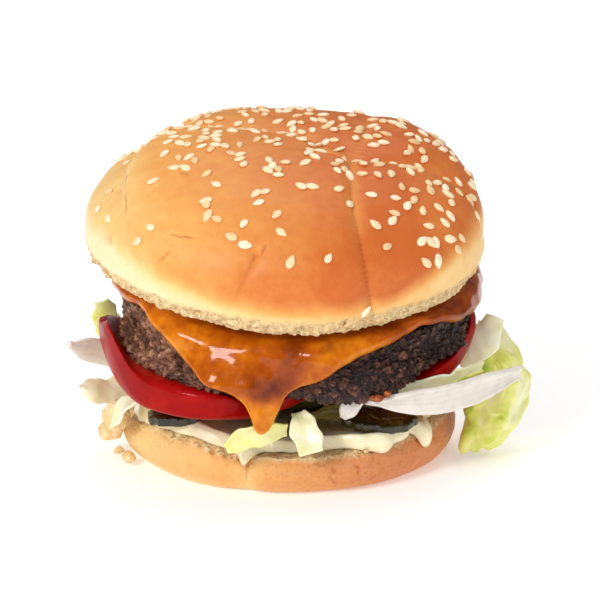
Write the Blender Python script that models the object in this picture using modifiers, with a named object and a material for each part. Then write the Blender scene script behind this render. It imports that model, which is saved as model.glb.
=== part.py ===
"""A cheeseburger on a folded roll, built from the heel up. Metres, +Z up, -Y towards the eater.

The origin is the middle of the heel's flat base. Everything from the tomato up lies in the stack's own
level frame, whose origin is the middle of the patty, and that frame leans forward on the heap of lettuce.
"""

import math

import bmesh
import bpy
from mathutils import Euler, Vector, noise

MM = 0.001
GAP = 0.35 * MM  # left between pieces that touch

# The heel, the lower half of the roll
HEEL_WIDE = 44.0 * MM  # half its width, across
HEEL_DEEP = 44.0 * MM  # half its depth, front to back
HEEL_RIM = 12.0 * MM  # usual height of its cut rim
HEEL_MIDDLE = 9.0 * MM  # height of its pressed-down middle
HEEL_BASE = 0.93  # the flat base's share of the heel's radius
HEEL_SEAM_ANGLE = math.radians(-106)
RIM_SHARE = 0.93  # the cut rim's share of the heel's radius
HEEL_TOP_SHARE = 0.36  # the cut face's share of the way from the heel's top to its underside
HEEL_WALL_SHARE = 0.38  # the wall's share of that way

# The sauce on the heel
SAUCE_THICK = 1.3 * MM
SAUCE_EDGE = 5.5 * MM  # width of the band along the rim that is modelled more closely
SAUCE_MIDDLE_SHARE = 0.45  # share of its rows that lie inside that band

# The stack: tomato, patty, cheese and crown share one leaning frame
STACK_PLACE = Vector((1.6, 0, 38.8)) * MM
STACK_LEAN = math.radians(8)

PATTY_RADIUS = 47.6 * MM
PATTY_TOP = 9.6 * MM
PATTY_BOTTOM = -7.6 * MM
PATTY_THIN_SIDE = 4.0 * MM  # how much higher its underside lies on the right
PATTY_SQUARENESS = 4.6  # exponent of the rounded section
PATTY_PINCH = 3.8 * MM  # how far the tomato has pressed into its lower sides
PATTY_LUMPS = 0.4 * MM

CHEESE_THICK = 2.1 * MM
CHEESE_CLEAR = 1.05 * MM  # it lies over the patty's lumps

# The shredded lettuce between sauce and tomato, and the leaf that hangs out on the right
BED_CENTRE = Vector((-1.5, 8.5)) * MM
BED_WIDE = 39.0 * MM
BED_DEEP = 27.5 * MM
LEAF_CENTRE = Vector((53.6, -3.0, 17.4)) * MM
LEAF_RADII = Vector((9.6, 12.0, 14.8)) * MM
PICKLE_THICK = 3.0 * MM

TOMATO_THICK = 5.2 * MM
TOMATO_CURL = 11.6 * MM  # radius at which a slice bends up round the patty's side
TOMATO_STEEPEST = math.radians(80)

CROWN_PLACE = Vector((-2.6, 0.5, 24.4)) * MM  # middle of its widest level, in the stack
CROWN_WIDE = 53.0 * MM
CROWN_DEEP = 51.5 * MM
CROWN_RISE = 23.9 * MM  # from the widest level to the top
CROWN_DROP = 10.4 * MM  # from the widest level to the cut rim
CROWN_TUCK = 3.6 * MM  # how far the rim lies inside the widest level
CROWN_RIM_SHARE = 0.68  # the rim's share of the way from its top to its underside, the widest level being at half
CROWN_FRONT_DROOP = 1.9 * MM
CROWN_LEFT_LIFT = 2.3 * MM  # how much higher its rim lies at the front left
CROWN_LEAN = math.radians(1.4)  # down to the right
CROWN_DIP = 0.5 * MM  # how far its underside bellies out below the rim
KNOT = Vector((16.5, -13.0)) * MM  # where the roll's folds meet, seen from above
# Each fold runs from the knot to the rim: its end's direction, its sideways bow, its depth and its half width
FOLDS = (
    (math.radians(-63), 2.0 * MM, 2.6 * MM, 3.6 * MM),
    (math.radians(10), -7.0 * MM, 3.2 * MM, 4.0 * MM),
    (math.radians(75), -5.0 * MM, 2.6 * MM, 4.0 * MM),
    (math.radians(128), -9.0 * MM, 3.2 * MM, 4.2 * MM),
    (math.radians(186), -13.0 * MM, 3.0 * MM, 4.2 * MM),
)

COLOURS = {
    "crust": ((0.80, 0.42, 0.15), 0.55),
    "sauce": ((0.93, 0.85, 0.62), 0.30),
    "lettuce": ((0.66, 0.76, 0.26), 0.40),
    "pickle": ((0.12, 0.13, 0.03), 0.25),
    "tomato": ((0.62, 0.03, 0.02), 0.18),
    "onion": ((0.90, 0.87, 0.82), 0.30),
    "patty": ((0.13, 0.06, 0.04), 0.50),
    "cheese": ((0.86, 0.42, 0.02), 0.22),
    "crumb": ((0.80, 0.52, 0.22), 0.70),
}


# ---------------------------------------------------------------- small helpers


def smoothstep(low, high, value):
    share = min(1.0, max(0.0, (value - low) / (high - low)))
    return share * share * (3 - 2 * share)


def bell(value, middle, half_width):
    """1 at the middle, falling smoothly to nothing a few half widths away."""
    return math.exp(-(((value - middle) / half_width) ** 2))


def turn_between(angle, other):
    """The signed turn from one direction to another, in radians."""
    return math.atan2(math.sin(angle - other), math.cos(angle - other))


def towards(angle, degrees, half_width):
    """1 in the given direction, falling smoothly to nothing a few half widths (in degrees) to either side."""
    return bell(turn_between(angle, math.radians(degrees)), 0, math.radians(half_width))


def between(angle, first, second, soft_first, soft_second):
    """1 from the first direction round to the second, in degrees, with soft ends."""
    middle = math.radians((first + second) / 2)
    turn = math.degrees(turn_between(angle, middle))
    half = (second - first) / 2
    return smoothstep(-half - soft_first, -half, turn) * smoothstep(half + soft_second, half, turn)


def wobble(angle, seed, swing):
    """A smooth unevenness that closes on itself round a piece."""
    return swing * noise.noise(Vector((1.7 * math.cos(angle), 1.7 * math.sin(angle), seed)))


def lumps(point, size, seed):
    return noise.noise(Vector(point) / size + Vector((seed, 0.3 * seed, 0.7 * seed)))


def superellipse(lift, squareness):
    """(outward, upward) shares of a rounded slab's section, for a lift of 0 at its top to pi at its underside."""
    power = 2 / squareness
    outward = max(0.0, math.sin(lift)) ** power
    upward = math.copysign(abs(math.cos(lift)) ** power, math.cos(lift))
    return outward, upward


def material(name):
    found = bpy.data.materials.get(name)
    if found:
        return found
    colour, roughness = COLOURS[name]
    made = bpy.data.materials.new(name)
    made.use_nodes = True
    shader = made.node_tree.nodes["Principled BSDF"]
    shader.inputs["Base Color"].default_value = (*colour, 1)
    shader.inputs["Roughness"].default_value = roughness
    shader.inputs["Metallic"].default_value = 0
    made.diffuse_color = (*colour, 1)
    return made


def add_object(name, bm, finish, collection, parent=None):
    mesh = bpy.data.meshes.new(name)
    bm.to_mesh(mesh)
    bm.free()
    mesh.shade_smooth()
    mesh.materials.append(material(finish))
    made = bpy.data.objects.new(name, mesh)
    collection.objects.link(made)
    made.parent = parent
    return made


def rounded_layer(segments, rings, place):
    """A sphere whose every point, given as (angle round it, lift from its top), is moved to its place."""
    bm = bmesh.new()
    bmesh.ops.create_uvsphere(bm, u_segments=segments, v_segments=rings, radius=1)
    for vert in bm.verts:
        angle = math.atan2(vert.co.y, vert.co.x)
        lift = math.acos(max(-1.0, min(1.0, vert.co.z)))
        vert.co = place(angle, lift)
    return bm


def draped_cap(segments, rings, place, finest):
    """An open round cap whose every point, given as (angle, share of the way to its hem), is moved to its place.

    Its columns stand closest together in the finest direction, where a drip hangs.
    """
    bm = bmesh.new()
    bmesh.ops.create_uvsphere(bm, u_segments=segments, v_segments=2 * rings, radius=1)
    lower = [vert for vert in bm.verts if vert.co.z < -1e-4]
    bmesh.ops.delete(bm, geom=lower, context="VERTS")
    for vert in bm.verts:
        turn = turn_between(math.atan2(vert.co.y, vert.co.x), finest)
        share = math.acos(max(-1.0, min(1.0, vert.co.z))) / (math.pi / 2)
        vert.co = place(finest + turn - 0.55 * math.sin(turn), share)
    return bm


def sheet(columns, rows, place):
    """A grid whose every point, given as two shares from 0 to 1, is moved to its place."""
    bm = bmesh.new()
    bmesh.ops.create_grid(bm, x_segments=columns, y_segments=rows, size=0.5)
    for vert in bm.verts:
        vert.co = place(vert.co.x + 0.5, vert.co.y + 0.5)
    return bm


def thicken(made, thickness, outward=1):
    """Gives an open surface its thickness, all on the side that its faces point to (or away from, with -1)."""
    shell = made.modifiers.new("thickness", "SOLIDIFY")
    shell.thickness = thickness
    shell.offset = outward
    shell.use_even_offset = False
    return made


def strip(name, finish, collection, path, width, thickness, side, ends=(0.35, 0.35)):
    """A flat strip along a curve through three points. side is the direction that its width spans."""
    start, middle, end = (Vector(point) * MM for point in path)
    control = 2 * middle - (start + end) / 2
    bm = bmesh.new()
    bmesh.ops.create_cube(bm, size=1)
    along = [edge for edge in bm.edges if abs(edge.verts[0].co.x - edge.verts[1].co.x) > 0.5]
    bmesh.ops.subdivide_edges(bm, edges=along, cuts=6, use_grid_fill=True)
    for vert in bm.verts:
        share = vert.co.x + 0.5
        centre = (1 - share) ** 2 * start + 2 * share * (1 - share) * control + share**2 * end
        run = (2 * (1 - share) * (control - start) + 2 * share * (end - control)).normalized()
        across = (Vector(side) - Vector(side).dot(run) * run).normalized()
        face = run.cross(across)
        taper = 1 - (1 - ends[0]) * bell(share, 0, 0.22) - (1 - ends[1]) * bell(share, 1, 0.22)
        vert.co = centre + across * vert.co.y * width * MM * taper + face * vert.co.z * thickness * MM
    return add_object(name, bm, finish, collection)


# ---------------------------------------------------------------- heel and sauce


def heel_radius(angle):
    seam = 1.3 * MM * towards(angle, math.degrees(HEEL_SEAM_ANGLE), 6)
    oval = 1 / math.hypot(math.cos(angle) / HEEL_WIDE, math.sin(angle) / HEEL_DEEP)
    return oval - seam + wobble(angle, 4.0, 0.9 * MM)


def heel_rim(angle):
    """Height of the cut rim: it stands higher at the front left and sinks in front and at the seam."""
    raised = 1.6 * MM * towards(angle, -138, 20)
    pressed = 1.5 * MM * towards(angle, -88, 18)
    notch = 1.6 * MM * towards(angle, math.degrees(HEEL_SEAM_ANGLE), 8)
    return HEEL_RIM + raised - pressed - notch + wobble(angle, 9.0, 0.8 * MM)


def heel_top(x, y):
    """Height of the cut face, which dips towards its pressed-down middle."""
    angle = math.atan2(y, x)
    share = min(1.0, math.hypot(x, y) / heel_radius(angle))
    return HEEL_MIDDLE + (heel_rim(angle) - HEEL_MIDDLE) * smoothstep(0.35, RIM_SHARE, share)


def heel_place(angle, lift):
    """The cut face takes the upper part of the lift, the wall the middle, and the flat base the rest."""
    radius = heel_radius(angle)
    share = lift / math.pi
    wall_end = HEEL_TOP_SHARE + HEEL_WALL_SHARE
    if share <= HEEL_TOP_SHARE:
        outward = RIM_SHARE * radius * share / HEEL_TOP_SHARE
        x, y = outward * math.cos(angle), outward * math.sin(angle)
        return Vector((x, y, heel_top(x, y)))
    if share >= wall_end:
        outward = HEEL_BASE * radius * (1 - share) / (1 - wall_end)
        return Vector((outward * math.cos(angle), outward * math.sin(angle), 0))
    down = (share - HEEL_TOP_SHARE) / HEEL_WALL_SHARE  # 0 at the cut rim, 1 at the base's edge
    inner = RIM_SHARE + (HEEL_BASE - RIM_SHARE) * down
    bulge = math.sin(math.pi * down**0.85) ** 0.6
    outward = radius * (inner + (1.0 - inner) * bulge)
    height = heel_rim(angle) * (1 - down)
    return Vector((outward * math.cos(angle), outward * math.sin(angle), height))


def build_heel(collection):
    return add_object("bun_heel", rounded_layer(40, 16, heel_place), "crust", collection)


def sauce_overhang(angle):
    """How far past the cut rim the sauce has run, down the heel's side where it is long."""
    front = -3.0 * MM * between(angle, -98, -70, 5, 8)
    front_right = 3.2 * MM * between(angle, -60, -44, 10, 5)
    right_drip = 7.4 * MM * towards(angle, -38, 6.5)
    seam_drip = 4.6 * MM * towards(angle, math.degrees(HEEL_SEAM_ANGLE), 4)
    left = 2.2 * MM * towards(angle, -150, 20)
    back = 3.6 * MM * towards(angle, 100, 14)
    return -1.4 * MM + front + max(front_right, right_drip) + seam_drip + left + back


def sauce_place(angle, share):
    """Over the cut face to the rim, then down outside the wall by the overhang."""
    rim = RIM_SHARE * heel_radius(angle)
    middle = rim - SAUCE_EDGE
    if share <= SAUCE_MIDDLE_SHARE:
        reach = middle * share / SAUCE_MIDDLE_SHARE
    else:
        further = (share - SAUCE_MIDDLE_SHARE) / (1 - SAUCE_MIDDLE_SHARE)
        reach = middle + (SAUCE_EDGE + sauce_overhang(angle)) * further
    if reach <= rim:
        x, y = reach * math.cos(angle), reach * math.sin(angle)
        return Vector((x, y, heel_top(x, y) + 2 * GAP))
    over = reach - rim
    wall = heel_radius(angle) - rim + 3 * GAP
    outward = rim + wall * min(1.0, over / (1.6 * wall)) ** 0.6
    height = heel_rim(angle) + 2 * GAP - over * smoothstep(0, 2 * wall, over)
    return Vector((outward * math.cos(angle), outward * math.sin(angle), height))


def build_sauce(collection):
    cap = draped_cap(40, 7, sauce_place, math.radians(-58))
    return thicken(add_object("mayonnaise", cap, "sauce", collection), SAUCE_THICK)


# ---------------------------------------------------------------- tomato, patty and cheese


def patty_underside(x):
    return PATTY_BOTTOM + PATTY_THIN_SIDE * smoothstep(17 * MM, 31 * MM, x)


def patty_place(angle, lift, clear=0.0):
    """A point of the patty's surface, or one that lies clear of it."""
    outward, upward = superellipse(lift, PATTY_SQUARENESS)
    pressed = towards(angle, 190, 30) + towards(angle, -6, 34)
    pinch = PATTY_PINCH * pressed * smoothstep(0.6, -0.2, upward)
    radius = PATTY_RADIUS - 0.6 * MM * towards(angle, 190, 30) - pinch + wobble(angle, 2.0, 1.0 * MM) + clear
    x, y = radius * outward * math.cos(angle), radius * outward * math.sin(angle)
    height = (PATTY_TOP + clear) * upward if upward > 0 else -(patty_underside(x) - clear) * upward
    spot = Vector((x, y, height))
    rough = PATTY_LUMPS * lumps(spot, 9 * MM, 5.0) * outward
    return spot + Vector((rough * math.cos(angle), rough * math.sin(angle), 0))


def build_patty(collection, stack):
    return add_object("beef_patty", rounded_layer(40, 14, patty_place), "patty", collection, stack)


def cheese_hem(angle):
    """Height of the cheese's lower edge in the stack, by direction: its four melted corners hang lower."""
    front = 13.6 * MM * between(angle, -110, -90, 27, 34)
    drip = 9.5 * MM * towards(angle, -98, 4.2)
    right = 7.4 * MM * between(angle, -13, 12, 30, 26)
    back = 13.0 * MM * towards(angle, 78, 20)
    back_left = 9.0 * MM * towards(angle, 146, 17)
    return 8.8 * MM - max(front, right, back, back_left) - drip


def cheese_place(angle, share):
    """Follows the patty to its widest level, and hangs straight down below that."""
    hem = cheese_hem(angle)
    top = PATTY_TOP + CHEESE_CLEAR
    furthest = math.pi / 2 if hem <= 0 else math.acos((hem / top) ** (PATTY_SQUARENESS / 2))
    hang = max(0.0, -hem)
    wrapped = PATTY_RADIUS * 0.98 + (top if hem <= 0 else top - hem)
    way = share**0.72 * (wrapped + hang)
    if way <= wrapped:
        lift = furthest * (way / wrapped) ** 0.9
        return patty_place(angle, lift, CHEESE_CLEAR)
    spot = patty_place(angle, furthest, CHEESE_CLEAR)
    return spot + Vector((0.3 * GAP * math.cos(angle), 0.3 * GAP * math.sin(angle), wrapped - way))


def build_cheese(collection, stack):
    cap = draped_cap(46, 9, cheese_place, math.radians(-98))
    return thicken(add_object("cheese", cap, "cheese", collection, stack), CHEESE_THICK)


def tomato_slice(name, centre, radii, curl_side, curl_from, collection, stack):
    """A slice that lies under the patty and bends up round it past a line, to the left (-1) or right (1)."""

    def place(angle, lift):
        outward, upward = superellipse(lift, 5.5)
        lobed = 1 + 0.012 * math.cos(5 * angle + centre[0])
        x = centre[0] * MM + radii[0] * MM * lobed * outward * math.cos(angle)
        y = centre[1] * MM + radii[1] * MM * lobed * outward * math.sin(angle)
        rise = TOMATO_THICK * upward / 2
        level = patty_underside(x) - 2 * GAP - TOMATO_THICK / 2
        past = curl_side * x - curl_from * MM
        if past <= 0:
            return Vector((x, y, level + rise))
        turn = min(past / TOMATO_CURL, TOMATO_STEEPEST)
        straight = past - turn * TOMATO_CURL
        inward = TOMATO_CURL - rise
        across = curl_from * MM + inward * math.sin(turn) + straight * math.cos(turn)
        return Vector((curl_side * across, y, level + TOMATO_CURL - inward * math.cos(turn)
                       + straight * math.sin(turn)))

    return add_object(name, rounded_layer(28, 9, place), "tomato", collection, stack)


# ---------------------------------------------------------------- crown


def fold_points():
    """Each fold's line from the knot to the rim, seen from above, with its depth and half width."""
    lines = []
    for direction, bow, depth, half_width in FOLDS:
        end = Vector((CROWN_WIDE * math.cos(direction), CROWN_DEEP * math.sin(direction)))
        run = end - KNOT
        sideways = Vector((-run.y, run.x)).normalized()
        line = [KNOT + run * s + sideways * bow * math.sin(math.pi * s) for s in (i / 24 for i in range(25))]
        lines.append((line, depth, half_width))
    return lines


def fold_depth(x, y, lines):
    """How far the folds press the crust in at a place seen from above."""
    deepest = 0.0
    for line, depth, half_width in lines:
        nearest, at = min(((Vector((x, y)) - point).length, i) for i, point in enumerate(line))
        fade = smoothstep(1.0, 0.72, at / (len(line) - 1))
        pressed = depth * (0.25 + 0.75 * fade) * bell(nearest, 0, half_width)
        deepest = max(deepest, pressed)
    return deepest


def crown_section(share):
    """(outward share of the radius, height above the widest level) from the top, 0, to the underside's middle, 1."""
    if share <= 0.5:
        climb = share * math.pi
        return math.sin(climb) ** 0.95, CROWN_RISE * math.cos(climb) ** 0.97
    rim = 1 - CROWN_TUCK / CROWN_WIDE
    if share <= CROWN_RIM_SHARE:
        down = (share - 0.5) / (CROWN_RIM_SHARE - 0.5)
        return 1 - (1 - rim) * down**2.4, -CROWN_DROP * down
    return rim * (1 - share) / (1 - CROWN_RIM_SHARE), -CROWN_DROP


def build_crown(collection, stack):
    lines = fold_points()

    def place(angle, lift):
        share = lift / math.pi
        outward, height = crown_section(share)
        radius = 1 / math.hypot(math.cos(angle) / CROWN_WIDE, math.sin(angle) / CROWN_DEEP)
        radius += wobble(angle, 7.0, 1.0 * MM)
        x, y = radius * outward * math.cos(angle), radius * outward * math.sin(angle)
        front = smoothstep(0.85, 1.0, outward) * towards(angle, -80, 32)
        if share <= CROWN_RIM_SHARE:
            inward = fold_depth(x, y, lines) * smoothstep(0.70, 0.52, share)
            swell = 0.9 * MM * lumps((x, y, height), 24 * MM, 3.0)
            normal = Vector((x / CROWN_WIDE, y / CROWN_DEEP, height / CROWN_RISE)).normalized()
            spot = Vector((x, y, height)) + normal * (swell - inward) * smoothstep(0.70, 0.5, share)
        else:
            spot = Vector((x, y, height - CROWN_DIP * smoothstep(0.95, 0.75, outward)))
        if height < 0:
            lifted = CROWN_LEFT_LIFT * towards(angle, -155, 36) * smoothstep(0.80, 0.95, outward)
            spot.z += (lifted - CROWN_FRONT_DROOP * front) * min(1.0, -height / CROWN_DROP)
        return spot

    made = add_object("bun_crown", rounded_layer(44, 24, place), "crust", collection, stack)
    made.location = CROWN_PLACE
    made.rotation_euler = (0, CROWN_LEAN, 0)
    return made


# ---------------------------------------------------------------- lettuce, onion, pickles and loose bits


def lean(x, y, z):
    """A point of the stack's frame, in the object's frame."""
    return STACK_PLACE + Euler((STACK_LEAN, 0, 0)).to_matrix() @ Vector((x, y, z))


def bed_place(angle, lift):
    """Shredded lettuce on the sauce, filling the room below the tomato and, at the back, below the patty."""
    outward, upward = superellipse(lift, 3.6)
    ragged = 1 + 0.03 * math.sin(7 * angle + 1) + 0.05 * wobble(angle, 6.0, 1.0)
    x = BED_CENTRE.x + BED_WIDE * ragged * outward * math.cos(angle)
    y = BED_CENTRE.y + BED_DEEP * ragged * outward * math.sin(angle)
    floor = heel_top(x, y) + SAUCE_THICK + 4 * GAP
    local_x = x - STACK_PLACE.x
    lowest = patty_underside(local_x) - TOMATO_THICK - 3 * GAP
    behind = smoothstep(22 * MM, 27 * MM, y)
    ceiling = lean(local_x, y, lowest + (TOMATO_THICK - 2 * MM) * behind).z
    middle, half = (floor + ceiling) / 2, (ceiling - floor) / 2
    return Vector((x, y, middle + half * upward))


def build_bed(collection):
    return add_object("lettuce_bed", rounded_layer(30, 8, bed_place), "lettuce", collection)


def build_leaf(collection):
    """A cupped leaf that bulges to the front and right, open towards the sandwich."""

    def place(across, along):
        angle = math.radians(-142 + 205 * across)
        lift = math.radians(14 + 150 * along)
        ruffle = 1 + 0.05 * math.sin(3 * angle + 9 * along) + 0.03 * math.sin(16 * along - 2 * angle)
        x = LEAF_RADII.x * math.sin(lift) ** 0.8 * math.cos(angle) * ruffle
        y = LEAF_RADII.y * math.sin(lift) ** 0.8 * math.sin(angle) * ruffle
        z = LEAF_RADII.z * math.cos(lift) * ruffle
        swing = Vector((-5.0 * MM * math.cos(lift) ** 2, 6.5 * MM * math.cos(lift), 0))
        return LEAF_CENTRE + Vector((x, y, z)) + swing

    made = add_object("lettuce_leaf_right", sheet(15, 10, place), "lettuce", collection)
    return thicken(made, 1.0 * MM, 0)


def pickle(name, centre, radii, tilt, collection):
    """A round slice of pickle with a scalloped skin, laid on the sauce."""

    def place(angle, lift):
        outward, upward = superellipse(lift, 4.5)
        scallop = 1 + 0.03 * math.cos(9 * angle)
        x = radii[0] * MM * scallop * outward * math.cos(angle)
        y = radii[1] * MM * scallop * outward * math.sin(angle)
        return Vector((x, y, PICKLE_THICK * upward / 2))

    made = add_object(name, rounded_layer(18, 6, place), "pickle", collection)
    made.location = Vector(centre) * MM
    made.rotation_euler = [math.radians(turn) for turn in tilt]
    return made


def torn_bit(name, centre, radii, seed, collection):
    """A knobbly piece torn from the roll."""

    def place(angle, lift):
        flank = Vector((math.sin(lift) * math.cos(angle), math.sin(lift) * math.sin(angle), math.cos(lift)))
        knobbly = 1 + 0.28 * noise.noise(flank * 1.9 + Vector((seed, 0, 0)))
        return Vector((flank.x * radii[0], flank.y * radii[1], flank.z * radii[2])) * knobbly * MM

    made = add_object(name, rounded_layer(10, 6, place), "crumb", collection)
    made.location = Vector(centre) * MM
    return made


def build_trimmings(collection):
    """What sticks out between the layers, named by where it lies."""
    leaf, ring = "lettuce", "onion"
    strip("onion_front_right", ring, collection, [(20.5, -41.0, 24.2), (41.5, -37.5, 23.0), (61.0, -20, 25.0)],
          5.0, 1.6, (0, -0.35, 1), (0.2, 0.35))
    strip("onion_front", ring, collection, [(19.0, -39.5, 22.3), (16.4, -40.0, 20.2), (13.8, -40.5, 17.8)],
          4.6, 1.4, (1, 0, 0.35), (1.0, 0.2))
    strip("onion_left", ring, collection, [(-41.5, 4, 22.0), (-49.5, -1, 25.8), (-56.5, -7, 29.6)],
          6.0, 1.5, (0, -0.5, 1), (1.0, 0.15))
    strip("onion_right", ring, collection, [(37.0, -20.5, 20.6), (41.2, -15, 21.6), (42.4, -6, 22.6)],
          3.4, 1.4, (0, -0.2, 1), (0.6, 0.6))
    strip("lettuce_shred_front", leaf, collection, [(-15.5, -46.6, 13.4), (-11, -46.0, 15.3), (-1.5, -43.6, 15.8)],
          4.8, 1.0, (0, -0.3, 1), (0.5, 0.6))
    strip("lettuce_piece_front", leaf, collection, [(2.8, -42.0, 21.8), (5.0, -45.6, 18.0), (6.0, -47.6, 13.6)],
          6.4, 1.0, (1, 0, 0), (0.55, 0.95))
    strip("lettuce_left_upper", leaf, collection, [(-43.5, 12, 25.0), (-48.5, 11, 30.0), (-49.3, 9, 36.5)],
          6.5, 1.0, (1, 0.3, 0.2), (0.8, 0.6))
    strip("lettuce_left_lower", leaf, collection, [(-42.5, -7, 18.2), (-48, -11, 18.4), (-54, -14.5, 20.4)],
          6.5, 1.0, (0.2, 0.8, 0.6), (1.0, 0.1))
    pickle("pickle_left", (-28.5, -29.0, 17.7), (7.4, 5.6), (6, -4, 0), collection)
    pickle("pickle_right", (23.5, -30.0, 16.9), (9.6, 6.2), (12, 3, 0), collection)
    torn_bit("crumb_left_upper", (-46.6, -15.4, 11.8), (2.4, 3.2, 3.0), 2.0, collection)
    torn_bit("crumb_left_lower", (-47.2, -9.0, 5.8), (2.3, 3.0, 2.6), 5.0, collection)


def main():
    for old in list(bpy.data.objects):
        bpy.data.objects.remove(old, do_unlink=True)
    collection = bpy.data.collections.new("cheeseburger")
    bpy.context.scene.collection.children.link(collection)
    stack = bpy.data.objects.new("stack", None)
    stack.location = STACK_PLACE
    stack.rotation_euler = (STACK_LEAN, 0, 0)
    collection.objects.link(stack)
    build_heel(collection)
    build_sauce(collection)
    build_bed(collection)
    tomato_slice("tomato_left", (-23.6, -15.5), (33.2, 31.0), -1, 36.4, collection, stack)
    tomato_slice("tomato_right", (30.6, -8.0), (20.0, 26.5), 1, 37.2, collection, stack)
    build_patty(collection, stack)
    build_cheese(collection, stack)
    build_crown(collection, stack)
    build_leaf(collection)
    build_trimmings(collection)


main()
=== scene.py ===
"""The looks of a cheeseburger: a sesame kaiser roll with a beef patty, melted cheese, tomato and lettuce."""

import math

import bpy
import numpy as np
from bpy.props import FloatProperty, FloatVectorProperty, IntProperty, PointerProperty
from bpy.types import Operator, Panel, PropertyGroup
from mathutils import Matrix, Vector, noise
from mathutils.bvhtree import BVHTree


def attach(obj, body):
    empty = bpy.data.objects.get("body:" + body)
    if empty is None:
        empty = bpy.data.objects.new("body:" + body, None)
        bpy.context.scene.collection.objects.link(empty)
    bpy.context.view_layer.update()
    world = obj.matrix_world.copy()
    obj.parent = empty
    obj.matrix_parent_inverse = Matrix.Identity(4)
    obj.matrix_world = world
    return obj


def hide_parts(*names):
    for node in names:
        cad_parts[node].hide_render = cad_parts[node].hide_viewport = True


bl_info = {
    "name": "Cheeseburger",
    "version": (1, 0, 0),
    "blender": (4, 5, 0),
    "location": "View3D > Sidebar > Burger",
    "description": "Makes the roll, the filling and the toppings of a cheeseburger on its packed frame",
    "category": "Add Mesh",
}

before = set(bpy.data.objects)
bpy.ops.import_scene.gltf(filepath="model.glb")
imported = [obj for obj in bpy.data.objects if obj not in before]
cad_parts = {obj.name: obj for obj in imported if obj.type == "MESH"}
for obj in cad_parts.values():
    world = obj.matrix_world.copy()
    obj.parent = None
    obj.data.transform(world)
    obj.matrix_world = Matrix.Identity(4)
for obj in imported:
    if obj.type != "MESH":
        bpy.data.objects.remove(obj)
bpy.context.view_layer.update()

MM = 0.001  # the functions below work in millimetres, and the meshes in metres

# The stack is everything on the lettuce. It leans forward, and the crown leans a little to the right on it.
STACK_RIGHT = 1.6  # how far right its middle lies
STACK_LEVEL = 38.8
STACK_LEAN = math.radians(8)
STACK = Matrix.Translation((STACK_RIGHT, 0.0, STACK_LEVEL)) @ Matrix.Rotation(STACK_LEAN, 4, "X")
CROWN = STACK @ Matrix.Translation((-2.6, 0.5, 24.4)) @ Matrix.Rotation(math.radians(1.4), 4, "Y")

CROWN_WIDE = 53.0  # half its width
CROWN_DEEP = 51.5
CROWN_RISE = 23.9
CROWN_DROP = 10.4  # from the widest level to the cut rim
CROWN_TUCK = 3.6  # how far the rim lies inside the widest level
CROWN_RIM_SHARE = 0.68  # how far down its section, from the top to the underside's middle, the rim lies
PATTY_RADIUS = 47.6
PATTY_TOP = 10.4
PATTY_BOTTOM = -7.6
PATTY_SQUARENESS = 6.5
# The cheese melted down in front in two lobes with a drip between them, and at its other corners: the height
# of its lower edge in each direction, in degrees
CHEESE_HEM = (
    (-180, 6), (-161, 8), (-147, 11.6), (-136, 8), (-126, 4.5), (-114, -1.2), (-104.5, -3.8), (-101.6, -9),
    (-100.4, -13.4), (-97, -13.4), (-94.6, -8.5), (-91.5, -2.2), (-82, 0.5), (-75, 4.5), (-67, 6.8), (-60, 7),
    (-49, 9.6), (-41, 8.8), (-20, 3.6), (0, 3), (30, 8), (55, 8), (70, -4), (85, -5), (102, 6), (120, 8),
    (146, -1), (165, 5), (180, 6))
# Where it swells: how far, the direction, its half width in degrees, the height and its half width
CHEESE_LOBES = (
    (1.9, -112, 8, 1.2, 4.4), (1.5, -101, 6, -0.5, 3.6), (1.8, -77, 7.5, 4.2, 3.6), (1.2, -127, 5, 9, 3))
CHEESE_VALLEY = ((1.5, -44, 12), (0.5, -47.6, 8.8), (0, -49.5, 4.6), (-2.5, -50, 0.2), (-6, -50, -1.5))
TOMATO_THICK = 5.2
TOMATO_CURL = 11.6
HEEL_RADIUS = 44.0
HEEL_RIM = 12.0
HEEL_MIDDLE = 9.0
HEEL_SEAM = -106.0  # the direction of the seam in its wall, in degrees
HEEL_TOP_SHARE = 0.30  # of its section, from the middle of its top to the middle of its base
HEEL_BASE_SHARE = 0.80
RIM_SHARE = 0.93  # of its radius
BASE_SHARE = 0.87
FLOOR_SIZE = 12
LENS = 205.2

# The crown's creases, each a smooth line through a few points of its crust: the line, how deep it is, its
# half width, how much of its depth is left at its end, which side lies lower, by how much and how far out,
# and how dark the painted shade in its cleft is
CREASES = (
    (((16, -10, 20), (16.6, -21, 19.5), (16.8, -30, 17.4), (18.4, -38.4, 13.2), (20.4, -46.3, 4.5),
      (22.4, -46, -5.5)), 2.5, 1.6, 0.5, (1, 0), 0.5, 7.5, 1.0),
    (((16, -10, 20), (24, -7.6, 20.2), (33, -6, 17.6), (40, -3.6, 14.2), (46, -4.5, 10), (51.5, -10, 3)),
     2.8, 2.0, 1.0, (0, 1), 2.6, 9.0, 0.5),
    (((16, -10, 20), (10, -2.5, 21.2), (3.7, 4, 21.8), (-9, 8.2, 22.6), (-20, 12, 21.4), (-32, 22, 15),
      (-40, 33, 4)), 2.4, 2.2, 0.9, (0, 1), 2.4, 9.0, 0.15),
    (((16, -10, 20), (20, 4, 20), (22, 22, 17), (22, 38, 9), (20, 47, 1)),
     1.4, 3.0, 0.5, (1, 0), 0.0, 7.5, 0.2),
    (((-27, 27, 16), (-35, 12, 15.5), (-39.8, 2, 14.5), (-41, -10, 14), (-40.4, -21, 12), (-39, -30, 8.4),
      (-37.6, -36, 3)), 2.0, 1.8, 0.1, (-1, 0), 4.9, 20.0, 0.3),
    (((-7.2, -47, 9.8), (-8.4, -48.9, 6.4), (-11.6, -50.4, -0.5)), 1.8, 1.2, 0.3, (1, 0), 0.3, 7.5, 0.5),
)
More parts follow.
